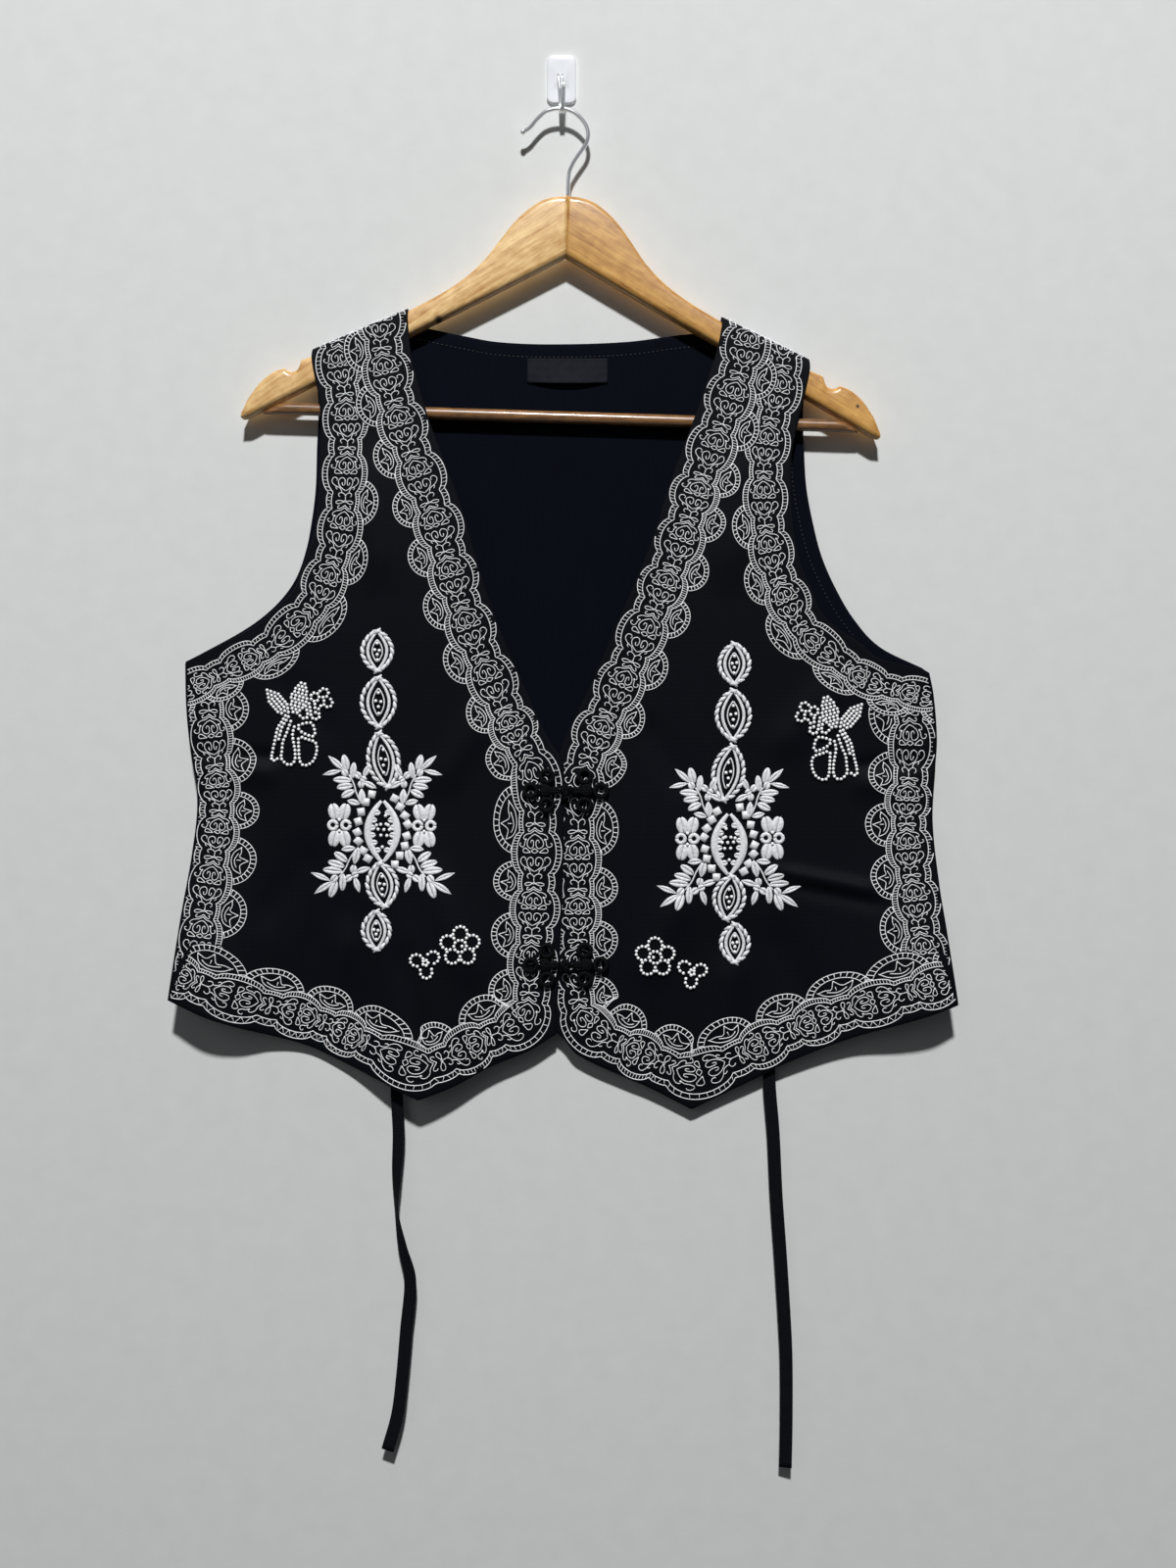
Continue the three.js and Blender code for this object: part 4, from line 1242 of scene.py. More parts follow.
def met(first: Array, second: Array) -> Array:
    """Two lines joined where they come nearest to each other."""
    gap = gaps(first, second)
    i, j = np.unravel_index(gap.argmin(), gap.shape)
    return np.vstack([first[: i + 1], second[j:]])


@dataclass(frozen=True)
class Borders:
    """The three bands of a front, highest first: neck, centre and hem, then armhole, then side.

    Attributes:
        front: the panel.
        prefix: start of the pieces' names.
        inner: the edge at the centre front, 1 on the right front and 0 on the left.
        neck_foot: height at which the V neck ends.
        underarm: height of the armhole's foot.
        main_marks: [x, height, length, depth] of fans on the first band: their middles, and
            their sizes as shares of the chart's.
        arm_marks: the same on the armhole.
        side_marks: the same at the side.
        side_inset: from the side seam to the side band's axis.
        band_width: from the edge to the first band's axis.
        armhole_inset: from the armhole to the armhole band's axis.
        overrun: length by which the armhole band goes on past the underarm.
    """

    front: Front
    prefix: str
    inner: int
    neck_foot: float
    underarm: float
    main_marks: Run
    arm_marks: Run
    side_marks: Run
    side_inset: float
    band_width: float = 20.0
    armhole_inset: float = 18.6
    overrun: float = 22.0

    def edge_run(self, side: int, top: float, foot: float) -> Array:
        """Part of an edge between two heights."""
        low, high = self.front.bottoms[side], self.front.tops[side]
        share = (np.linspace(top, foot, 120) - high) / (low - high)
        return np.stack(self.front.edge_line(side, share), axis=1)

    def from_seam(self, side: int, foot: float) -> Array:
        """An edge from the shoulder seam, over the strap's turn and down to a height."""
        down = self.edge_run(side, self.front.tops[side], foot)
        return np.vstack([down[:1] + (0, np.pi * WRAP_RADIUS), down[:1] + (0, 1.0), down])

    def hem_run(self, part: int) -> Array:
        """The hem from the centre to its tip (0) or from the tip to the side (1)."""
        run = (self.front.hem[::-1] if self.inner else self.front.hem)[part]
        x = np.linspace(run[0][0], run[-1][0], 90)
        line = np.stack([x, through(run)(x)], axis=1)
        return line[::-1] if self.inner else line

    def band(self, side: int, axis: Array, marks: Run, scale: Run, fans: tuple = (-99, 1e4),
             zigzag: float = 1e4) -> Band:
        """A band beside an edge, whose marks are the axis' points nearest to the given places."""
        rows = np.array(marks)
        spots = gaps(axis, rows[:, :2]).argmin(axis=0)
        order = spots.argsort()
        return Band(axis, 1.0 if side else -1.0, tuple(spots[order].astype(float)), rows[order, 2:],
                    scale, fans, zigzag)

    def main_band(self) -> Band:
        """Neck, centre front and hem."""
        inset = self.band_width if self.inner else -self.band_width
        parts = [self.from_seam(self.inner, self.neck_foot),
                 self.edge_run(self.inner, self.neck_foot, self.front.bottoms[self.inner]),
                 self.hem_run(0), self.hem_run(1)]
        axis = drawn_in(parts[0], inset)
        for part in parts[1:]:
            axis = met(axis, drawn_in(part, inset))
        axis = softened(evenly(axis, 1.0), 9.0)
        foot = float(np.abs(axis[:, 1] - self.front.bottoms[self.inner]).argmin())
        scale = [(0, 1.0), (foot - 60, 1.0), (foot, 0.9), (len(axis), 0.87)]
        return self.band(self.inner, axis, self.main_marks, scale, zigzag=foot)

    def arm_band(self) -> Band:
        """Armhole, carried on past the underarm to the side seam."""
        side = 1 - self.inner
        line = self.from_seam(side, self.underarm)
        ahead = line[-1] - line[-4]
        line = np.vstack([line, line[-1] + unit(ahead) * self.overrun])
        axis = softened(drawn_in(line, self.armhole_inset if side else -self.armhole_inset), 7.0)
        scale = [(0, 0.9), (190, 0.9), (270, 0.72), (len(axis), 0.66)]
        return self.band(side, axis, self.arm_marks, scale, (118, 1e4))

    def side_band(self) -> Band:
        """Side seam, from the underarm to the hem."""
        side = 1 - self.inner
        line = self.edge_run(side, self.underarm, self.front.bottoms[side])
        axis = softened(drawn_in(line, self.side_inset if side else -self.side_inset), 6.0)
        return self.band(side, axis, self.side_marks, [(0, 0.94), (len(axis), 0.94)])

    def build(self) -> list[bpy.types.Object]:
        """The bands' stitching; a lower band stops where a higher one lies."""
        room = self.front.outline(1.0)
        above, made = [], []
        for label, band in (("main", self.main_band()), ("armhole", self.arm_band()),
                            ("side", self.side_band())):
            strokes = band.strokes()
            keep = inside(strokes.points, room)
            for over in above:
                keep &= ~over.covers(strokes.points, 0.7)
            above.append(band)
            made.append(self.front.stitched(f"{self.prefix}_border_{label}", strokes.kept(keep), THREAD))
        return made


# ---- the satin-stitch motif ----
def leaf(base: Sequence[float], tip: Sequence[float], width: float, roundness: float = 1.0) -> Strokes:
    """A satin-stitch leaf of two halves with a groove between them.

    Each half follows a bow beside the leaf's middle line and is as wide as half the leaf there:
    width / 2 * sin(pi t)^roundness.

    Args:
        base: where it starts.
        tip: where it ends.
        width: its greatest width.
        roundness: below 1 for a round petal, 1 or above for a pointed leaf.

    Returns:
        Its strokes.
    """
    start, end = np.array(base, float), np.array(tip, float)
    t = np.linspace(0.02, 0.98, 11)[:, None]
    ahead = unit(end - start)
    square = left_of(ahead)
    belly = np.sin(np.pi * t) ** roundness
    halves = []
    for side in (-1, 1):
        line = start + (end - start) * t + square * side * belly * width * 0.25
        half = Strokes.of([line], 1.0)
        half.width = np.maximum(belly[:, 0] * width * 0.27, 0.15)
        half.height = np.maximum(belly[:, 0] ** 0.6 * 0.8, 0.3)
        halves.append(half)
    return Strokes.joined(*halves)


@dataclass(frozen=True)
class Motif:
    """The tall motif on each front, charted in mm from the middle of its eye.

    Attributes:
        front: the panel.
        prefix: start of the pieces' names.
        centre: (x, height) of the eye's middle.
        flip: -1 where the chart is turned over left to right.
    """

    front: Front
    prefix: str
    centre: tuple[float, float]
    flip: float

    def set_down(self, strokes: Strokes) -> Strokes:
        """Chart strokes moved to the panel."""
        strokes.points = strokes.points * (self.flip, 1) + self.centre
        return strokes

    def oval(self, x: float, z: float, high: float, wide: float, tilt: float) -> Strokes:
        """A braided oval round a lens: x = wide * cos(pi v / 2)^p at height high * v on both sides."""
        v = np.linspace(-1, 1, 60)
        parts = []
        for side in (-1, 1):
            bow = np.stack([side * wide * np.cos(np.pi * v / 2) ** 0.62, high * v], axis=1)
            bow = evenly(bow * 0.87, 4.9)
            ahead = unit(np.gradient(bow, axis=0))
            lean = ahead + left_of(ahead) * 0.32
            twists = [np.stack([p - d * 3.1, p, p + d * 3.1]) for p, d in zip(bow, lean)]
            braid = Strokes.of(twists, 1.35, 0.8)
            braid.width *= np.tile([0.45, 1.15, 0.45], len(twists))
            braid.height *= np.tile([0.6, 1.2, 0.6], len(twists))
            lens = np.stack([side * wide * 0.56 * np.cos(np.pi * v / 2) ** 0.9, high * 0.84 * v], axis=1)
            seed = np.stack([side * wide * 0.3 * np.cos(np.pi * v / 2) ** 0.8, high * 0.5 * v], axis=1)
            parts += [braid, Strokes.of([evenly(lens, 1.1)], 1.15, 0.75, 0.35),
                      Strokes.of([evenly(seed, 1.1)], 0.5, 0.45)]
        whole = Strokes.joined(*parts)
        whole.points = rotated(whole.points, tilt) + (x, z)
        return whole

    def eye(self) -> Strokes:
        """The large lens with saw teeth on its inner side."""
        v = np.linspace(-0.97, 0.97, 40)
        parts = []
        for side in (-1, 1):
            arm = np.stack([side * 10.4 * np.cos(np.pi * v / 2) ** 0.85, 22.0 * v], axis=1)
            arm = evenly(arm, 1.2)
            parts.append(Strokes.of([arm], 2.7, 0.95, 0.6))
            for share in (-0.62, -0.38, -0.14, 0.1, 0.34, 0.58):
                x, z = 10.4 * math.cos(math.pi * share / 2) ** 0.85, 22 * share
                parts.append(leaf((side * (x - 0.6), z), (side * (x - 5.4), z + 0.8), 4.2, 0.8))
        return Strokes.joined(*parts)

    def squares(self) -> Strokes:
        """The chain of little squares on each side of the eye."""
        chains = [[(-7.5, 26), (-11.7, 20.6), (-15.1, 13.7), (-17.1, 6.9), (-17.8, -0.7), (-17.1, -6.9),
                   (-13.7, -13.7), (-10.3, -19.2)],
                  [(8.6, 23), (12.3, 17.1), (15.8, 11), (17.8, 4.8), (17.1, -3.4), (15.8, -10.3),
                   (12.3, -17.1), (8.9, -23.3)]]
        lines = []
        for chain in chains:
            spots = np.array(chain)
            ahead = unit(np.gradient(spots, axis=0))
            lean = unit(ahead + left_of(ahead) * 0.55)
            lines += [np.stack([p - d * 2.8, p, p + d * 2.8]) for p, d in zip(spots, lean)]
        return Strokes.of(lines, 2.8, 0.8)

    def flower(self, x: float, z: float) -> Strokes:
        """Four round petals and two ring cups."""
        petals = [leaf((x + 2.4 * sx, z + 3.6 * sz), (x + 4.9 * sx, z + 15.2 * sz), 8.4, 0.5)
                  for sx in (-1, 1) for sz in (-1, 1)]
        turn = np.linspace(0, 2 * np.pi, 15)
        cups = [np.stack([x + 4.6 * side + 2.9 * np.cos(turn), z + 2.9 * np.sin(turn)], axis=1)
                for side in (-1, 1)]
        return Strokes.joined(*petals, Strokes.of(cups, 1.35, 0.8))

    def spray(self, x: float, z: float, heading: float, side: float, size: float) -> Strokes:
        """A leaf spray, charted from the foot of its stem with the stem along +y.

        Args:
            x: place of the stem's foot across.
            z: its height.
            heading: the stem's direction in degrees from +x.
            side: 1 where the loops are to the right hand of the stem, -1 to the left.
            size: its scale.

        Returns:
            Its strokes.
        """
        leaves = [((3.5, 22.5), (11.7, 36.2), 4.4, 1.1), ((5.2, 23.4), (19.7, 24.4), 3.8, 1.1),
                  ((1.9, 21.9), (1.1, 33.8), 5.6, 0.6), ((0.2, 15.6), (-4.5, 26.4), 4.8, 0.6),
                  ((1.0, 14.6), (13.4, 19.1), 5.2, 0.6), ((1.2, 11.2), (12.6, 12.9), 5.2, 0.6),
                  ((1.0, 7.4), (11.4, 5.6), 5.2, 0.6), ((-4.0, 7.3), (-1.3, -4.4), 5.2, 0.9),
                  ((0, -3), (8.2, 2.1), 4.5, 0.9), ((-7.1, 13.8), (-15.1, 22.3), 4.3, 1.0),
                  ((-6.2, 11.9), (-14.4, 4.2), 4.3, 1.0), ((-5.5, 14.5), (-3.2, 19.2), 4.8, 0.5),
                  ((-5.4, 12.5), (-3.9, 7.6), 4.8, 0.5), ((-8.6, 11.4), (-5.9, 14.6), 4.6, 0.5),
                  ((3.4, 18.4), (4.4, 24), 4.8, 0.6)]
        parts = [leaf(*entry) for entry in leaves]
        stem = spline([(-0.6, -2), (0.3, 5), (0.2, 12), (1.6, 19)], 1.2)
        whole = Strokes.joined(*parts, Strokes.of([stem], 0.6, 0.6))
        whole.points = rotated(whole.points * (side * size, size), heading - 90) + (x, z)
        return whole

    def build(self) -> list[bpy.types.Object]:
        """The motif's stitching and its beads."""
        ovals = [(-3.4, 126.8, 15.8, 12.0, 0), (-2.7, 90.8, 19.6, 13.4, 0), (0.7, 50, 21.8, 12.2, 9),
                 (0, -37.7, 17.4, 12.2, 7), (-4.1, -69.9, 15.2, 11.2, 0)]
        satin = [self.oval(*entry) for entry in ovals]
        satin += [self.eye(), self.squares(), self.flower(-30.4, 4.4), self.flower(29.4, 3.9)]
        satin += [self.spray(sx * 16.6, 22.1, 90 - sx * 16.8, sx, 1.0) for sx in (-1, 1)]
        satin += [self.spray(sx * 20.4, -14.6, -90 + sx * 25.8, -sx, 1.08) for sx in (-1, 1)]
        stitches = self.set_down(Strokes.joined(*satin))
        seeds = [(x + dx * wide, z + dz * high) for x, z, high, wide, _ in ovals
                 for dx, dz in ((0, 0.34), (-0.14, 0.05), (0.13, 0.02), (0, -0.16), (0.02, -0.4))]
        blossom = [(-1.2, 4.9), (2.6, 5.1), (-3, 1.5), (5, 1.2), (1.1, 1.2), (-1, -2.8), (3.2, -3),
                   (2.2, 11), (0, -11), (-4.1, 4.4), (4.1, 4.4)]
        pips = [(x, z + dz) for x, z in ((-30.4, 4.4), (29.4, 3.9)) for dz in (-3.9, 3.9)]
        beads = np.array(seeds + blossom + pips) * (self.flip, 1) + self.centre
        return [self.front.stitched(self.prefix + "_motif", stitches, SATIN, sides=8),
                self.front.beaded(self.prefix + "_motif_beads", beads, 1.25)]


@dataclass(frozen=True)
class BeadFlowers:
    """The bead flowers of a front: a large blossom by the armhole and two small ones at the hem.

    Attributes:
        front: the panel.
        prefix: start of the piece's name.
        blossom: (x, height) of the large blossom's middle.
        rose: of the flower with five loops.
        clover: of the flower with three loops.
        flip: -1 where they are turned over left to right.
    """

    front: Front
    prefix: str
    blossom: tuple[float, float]
    rose: tuple[float, float]
    clover: tuple[float, float]
    flip: float
    bead: float = 1.2  # radius
    spacing: float = 2.75

    def chain(self, points: Run, closed: bool = False) -> Array:
        """Beads strung along a line."""
        line = spline(points, self.spacing, closed)
        return line[:-1] if closed else line

    def loop(self, x: float, z: float, radius: float, stretch: float = 1.0, turn: float = 0.0) -> Array:
        """Beads round a ring, stretched along the direction turn in degrees."""
        count = max(int(round(2 * math.pi * radius * (1 + stretch) / 2 / self.spacing)), 5)
        angle = 2 * np.pi * np.arange(count) / count
        ring = np.stack([radius * stretch * np.cos(angle), radius * np.sin(angle)], axis=1)
        return rotated(ring, turn) + (x, z)

    def petals(self, turns: Sequence[float], reach: float, radius: float, stretch: float) -> list[Array]:
        """Loops round a middle, one in each direction."""
        spots = [rotated(np.array([reach, 0.0]), turn) for turn in turns]
        return [self.loop(*spot, radius, stretch, turn) for spot, turn in zip(spots, turns)]

    def filled(self, base: Sequence[float], tip: Sequence[float], width: float) -> Array:
        """Beads packed in rows inside a pointed petal."""
        start, end = np.array(base), np.array(tip)
        length = float(np.linalg.norm(end - start))
        ahead = (end - start) / length
        places = []
        for row in np.arange(0.6, length, self.spacing * 0.87):
            half = width / 2 * math.sin(math.pi * min(row / length * 0.86 + 0.1, 1)) ** 0.8
            count = int(half / self.spacing * 2) + 1
            offset = (np.arange(count) - (count - 1) / 2) * self.spacing
            places.append(np.stack([offset, np.full(count, row)], axis=1))
        spots = np.vstack(places)
        return start + spots[:, 1:] * ahead + spots[:, :1] * left_of(ahead)

    def build(self) -> bpy.types.Object:
        """All of the front's bead flowers as one piece."""
        chains = [[(-8.7, 10.4), (-11.6, 5.6), (-14.2, 1.1), (-16.3, -8), (-18.6, -18.4), (-17.7, -21.8),
                   (-14.5, -20.2)],
                  [(-6.6, 9.6), (-8.7, 6.2), (-11.2, 1.8), (-13.4, -6)],
                  [(-5, 6.4), (-6.7, 1.4), (-8.5, -3.4), (-10.5, -8), (-11.2, -14.9), (-11.7, -18.8),
                   (-10.3, -21.8), (-6, -24.3), (-2.4, -21.6), (-1.9, -15), (-3.0, -8), (-3.7, -2.6),
                   (-2.5, 2.5)],
                  [(0.4, -5.9), (0.7, -13.8), (1.5, -21.6), (4.8, -24.6), (10.6, -21.6), (13.3, -14.5),
                   (12.2, -8.5), (6.7, -6.3), (2.8, -4.8)],
                  [(-0.5, 12.4), (3.4, 8.6), (6.6, 9.4), (6.6, 12.6), (5.5, 17.2)],
                  [(8, 19), (8.9, 13.8), (9.6, 9.6), (11.9, 8), (14.7, 8.9), (15.2, 11.6), (12.4, 12.8)]]
        round_loop = [(3.2, 4.6), (9.2, 5.3), (11.5, 0.9), (11.7, -3.4), (8.5, -3.9), (2.1, -0.7), (0, 2.8)]
        large = [self.chain(run) for run in chains] + [self.chain(round_loop, closed=True)]
        large += [self.loop(*ring) for ring in ((12.2, 23.6, 3), (18.6, 26.4, 3.1), (21.4, 19.6, 3.1),
                                                (14, 17.4, 2.3))]
        large += [self.filled((-7.3, 11.5), (-21.6, 28.5), 10.0), self.filled((-2.3, 11.9), (4.4, 35), 11.4)]
        rose = [self.loop(0, 0, 4.2), self.loop(0, 0, 1.3)] + self.petals(range(90, 450, 72), 8.3, 4.9, 1.1)
        clover = [self.loop(0, 0, 1.9)] + self.petals((35, 165, 275), 6.2, 4.1, 1.15)
        groups = zip((large, rose, clover), (self.blossom, self.rose, self.clover))
        spots = np.vstack([np.vstack(group) * (self.flip, 1) + middle for group, middle in groups])
        crowded = (np.triu(gaps(spots, spots) < self.bead * 1.5, 1)).any(axis=0)
        return self.front.beaded(self.prefix + "_bead_flowers", spots[~crowded], self.bead)


# ---- the back ----
@dataclass(frozen=True)
class Back(Panel):
    """The plain back: one piece from side seam to side seam, hanging behind the arms."""

    edges: tuple
    tops: tuple[float, float]
    bottoms: tuple[float, float]
    top: tuple
    fold: float = 9.0  # from an edge to the stitching that holds its turned-in hem

    def place(self, x: Array, w: Array) -> Array:
        """The hung point: straight ahead at the back's depth, with slack folds low down."""
        slack = 0.35 * np.cos(x / 19.0) * smooth(-330, -560, w) * (1 - smooth(150, 230, np.abs(x)))
        return hung(x, back_depth(x, w) + slack, w)

    def grid(self, rows: int, columns: int) -> tuple[Array, Array]:
        """Places across and heights of the panel's middle points, rows from the top."""
        share = np.linspace(0, 1, rows)[:, None]
        u = np.linspace(0, 1, columns)[None]
        heights = [mix(self.tops[side], self.bottoms[side], share) for side in (0, 1)]
        ends = [cornered(*self.edges[side]) for side in (0, 1)]
        x = mix(ends[0](heights[0]), ends[1](heights[1]), u)
        top_x = mix(ends[0](heights[0][:1]), ends[1](heights[1][:1]), u)
        rise = cornered(*self.top)(top_x) - mix(self.tops[0], self.tops[1], u)
        return x, mix(heights[0], heights[1], u) + rise * (1 - smooth(0, 0.35, share))

    def build(self) -> list[bpy.types.Object]:
        """The cloth, and the stitching of its turned-in neckline, armholes and hem on both faces."""
        x, w = self.grid(150, 130)
        cloth = piece("back_cloth", *shell(self.place(x, w), CLOTH), BACK_COTTON)
        rim = np.stack([x, w], axis=-1)
        lines = [rim[0, 5:-5] - (0, self.fold), rim[-1, 2:-2] + (0, self.fold + 3),
                 rim[4:64, 0] + (self.fold, 0), rim[4:64, -1] - (self.fold, 0)]
        dashes = []
        for line in lines:
            even = evenly(line, 0.8)
            dashes += [part[:3] for part in np.array_split(even[: len(even) // 4 * 4], len(even) // 4)]
        strokes = Strokes.of(dashes, 0.4, 0.3)
        sides = [self.stitched("back_stitching" + word, strokes, BLACK_THREAD, 4, face)
                 for word, face in (("", 1.0), ("_rear", -1.0))]
        return [cloth, *sides]

    def outline(self) -> Array:
        """The cut as a closed line of points."""
        x, w = self.grid(150, 130)
        rim = np.stack([x, w], axis=-1)
        return np.vstack([rim[0], rim[1:, -1], rim[-1, ::-1], rim[::-1, 0]])


BACK = Back(
    edges=(
        ([[-203, -174], [-234, -172], [-262, -173], [-292, -174], [-316, -177], [-336, -181],
          [-357, -189], [-375, -203], [-392, -224], [-415, -263.5]],
         [[height, x + SEAM_INSET] for height, x in RIGHT_FRONT.edges[0][1]]),
        ([[-210, 174], [-234, 171], [-272, 172], [-292, 173.5], [-316, 178], [-339, 184],
          [-361, 193.5], [-385, 207.5], [-405, 226], [-421, 257.5]],
         [[height, x - SEAM_INSET] for height, x in LEFT_FRONT.edges[1][1]])),
    tops=(-203, -210),
    bottoms=(-651.5, -655),
    top=([[-174, -203], [-108, -175]],
         [[-108, -175], [-89, -179.3], [-69, -183.5], [-46, -187.6], [-9, -189.3], [46, -187.6],
          [87, -182.4], [113, -180.8]],
         [[113, -180.8], [174, -210]]))


@dataclass(frozen=True)
class NeckLabel:
    """A blank folded satin label sewn along its top to the inside of the back."""

    left: float = -24.0
    right: float = 32.5
    top: float = -199.6
    height: float = 16.5
    wall: float = 1.0
    lift: float = 3.0

    def build(self) -> bpy.types.Object:
        """The label: flat at its top and ends, its foot bowing out as lift * v^2 * sin(pi u)."""
        v, u = np.meshgrid(np.linspace(0, 1, 18), np.linspace(0, 1, 48), indexing="ij")
        bow = self.lift * v * v * np.sin(np.pi * u)
        start = BACK_DEPTH + CLOTH / 2 + 0.3 + self.wall / 2
        centre = hung(mix(self.left, self.right, u), start + bow, self.top - self.height * v - 0.4 * bow)
        return stands_for(piece("label_cloth", *shell(centre, self.wall), LABEL_WEAVE), "neck_label", "label")


# ---- ties and frogs ----
class Side(Enum):
    """The wearer's side, with the sign of its direction across."""

    RIGHT = -1
    LEFT = 1


@dataclass(frozen=True)
class Tie:
    """A flat waist tie that hangs free from the outside of the back.

    route holds [x, depth, height, turn of the width in degrees] down its length.
    """

    side: Side
    route: Run
    width: float = 9.0
    thickness: float = 0.8

    def build(self) -> bpy.types.Object:
        """The tape, declared as a cord of its own length."""
        line = spline(self.route, 4.0)
        centre = hung(line[:, 0], line[:, 1], line[:, 2])
        ahead = unit(np.gradient(centre, axis=0))
        across = unit(np.array([1.0, 0, 0]) - ahead * ahead[:, :1])
        turn = np.radians(line[:, 3:])
        wide = across * np.cos(turn) + np.cross(ahead, across) * np.sin(turn)
        half_width, half_thick = (np.full(len(centre), size / 2) for size in (self.width, self.thickness))
        points, faces, along = swept(centre, np.cross(ahead, wide), np.zeros(len(centre), int), half_width,
                                     half_thick, 14, 0.45)
        name = self.side.name.lower()
        tape = stands_for(piece(f"tie_tape_{name}", points, faces, TAPE, along), f"tie_{name}", "tie_tape")
        path = centre * MM
        length = float(np.linalg.norm(np.diff(path, axis=0), axis=1).sum())
        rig.cord(tape, exit=path[0].tolist(), length=round(length, 3), diameter=self.width * MM,
                far_end="bare", stiffness="limp", lay="hanging", path=path.tolist())
        return tape


def rope(line: Array, normal: Sequence[float], radius: float, pitch: float) -> tuple[Array, Array, Array]:
    """Three strands laid round a line: each winds about it at 0.46 of the rope's radius.

    Args:
        line: (n, 3) the rope's middle.
        normal: a direction that is never along the line.
        radius: of the whole rope.
        pitch: length in which a strand goes once round.

    Returns:
        The strands' points, their run numbers and the normals.
    """
    ahead = unit(np.gradient(line, axis=0))
    side = unit(np.cross(ahead, np.array(normal, float)))
    up = np.cross(side, ahead)
    steps = np.linalg.norm(np.diff(line, axis=0), axis=1)
    turn = 2 * np.pi * np.concatenate([[0], np.cumsum(steps)]) / pitch
    strands = []
    for start in np.arange(3) * 2 * np.pi / 3:
        c, s = np.cos(turn + start)[:, None], np.sin(turn + start)[:, None]
        strands.append(line + (side * c + up * s) * radius * 0.46)
    return np.vstack(strands), np.repeat(np.arange(3), len(line)), np.tile(up, (3, 1))


def corded(name: str, lines: Sequence[Array], radius: float, pitch: float) -> bpy.types.Object:
    """Ropes along lines as one piece of black cord."""
    ropes = [rope(line, (0, -1, 0.02), radius, pitch) for line in lines]
    run = np.concatenate([r[1] + 3 * i for i, r in enumerate(ropes)])
    centre, normal = np.vstack([r[0] for r in ropes]), np.vstack([r[2] for r in ropes])
    thick = np.full(len(run), radius * 0.56)
    points, faces, along = swept(centre, normal, run, thick, thick, 6)
    return piece(name, points, faces, CORD, along)


@dataclass(frozen=True)
class Frog:
    """One frog: a clover of cord loops on each front and a knot button between them."""

    level: str
    centre_x: float = 3.2
    reach: float = 14.5
    loop_reach: float = 9.2
    loop_radius: float = 4.2
    cord: float = 1.85  # radius
    knot: float = 4.6  # radius
    lay: float = 5.0  # length in which a strand goes once round the cord

    def middle(self, part: str) -> tuple[float, float]:
        """Depth and height of the middle of one of the frog's parts, in mm."""
        low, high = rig.box(f"frog_{self.level}_{part}")
        return -(low.y + high.y) / 2 / MM, (low.z + high.z) / 2 / MM

    def clover(self, side: Side) -> bpy.types.Object:
        """Three loops, a coiled heart and the bar that runs to the knot."""
        name = side.name.lower()
        depth, z = self.middle(name)
        x = self.centre_x + side.value * self.reach
        turn = np.linspace(0, 2 * np.pi, 40)
        lines = []
        for degrees in (0, 97, -97):
            angle = math.radians(degrees) + (math.pi if side is Side.RIGHT else 0)
            cx, cz = x + self.loop_reach * math.cos(angle), z + self.loop_reach * math.sin(angle)
            drop = 1 + 0.22 * np.cos(turn - angle)
            lines.append(hung(cx + self.loop_radius * drop * np.cos(turn), depth,
                              cz + self.loop_radius * drop * np.sin(turn)))
        coil = np.linspace(0.25, 2.4, 50) * np.pi * 2
        swirl = self.knot * 0.78 * coil / coil[-1]
        lines.append(hung(x + swirl * np.cos(coil), depth + 0.9 * (1 - coil / coil[-1]),
                          z + swirl * np.sin(coil)))
        inner = self.centre_x + side.value * (self.knot + 0.4)
        lines += [hung(np.linspace(x - side.value * 2, inner, 14), depth, np.full(14, z + dz))
                  for dz in (-0.9, 0.9)]
        made = corded(f"frog_{self.level}_clover_{name}", lines, self.cord, self.lay)
        return stands_for(made, f"frog_{self.level}_{name}", "frog_cord")

    def button(self) -> bpy.types.Object:
        """The knot: cord wound twice round a small ring, 1.55 + cos 1.5a across and sin 1.5a through."""
        depth, z = self.middle("knot")
        a = np.linspace(0, 4 * np.pi, 120)
        wide = self.knot * 0.27
        out = wide * (1.55 + np.cos(1.5 * a))
        knot = hung(self.centre_x + out * np.cos(a), depth + wide * np.sin(1.5 * a), z + out * np.sin(a))
        made = corded(f"frog_{self.level}_button", [knot], self.cord * 0.92, self.lay)
        return stands_for(made, f"frog_{self.level}_knot", "frog_cord")

    def build(self) -> list[bpy.types.Object]:
        """Both clovers and the button."""
        return [self.clover(Side.RIGHT), self.clover(Side.LEFT), self.button()]


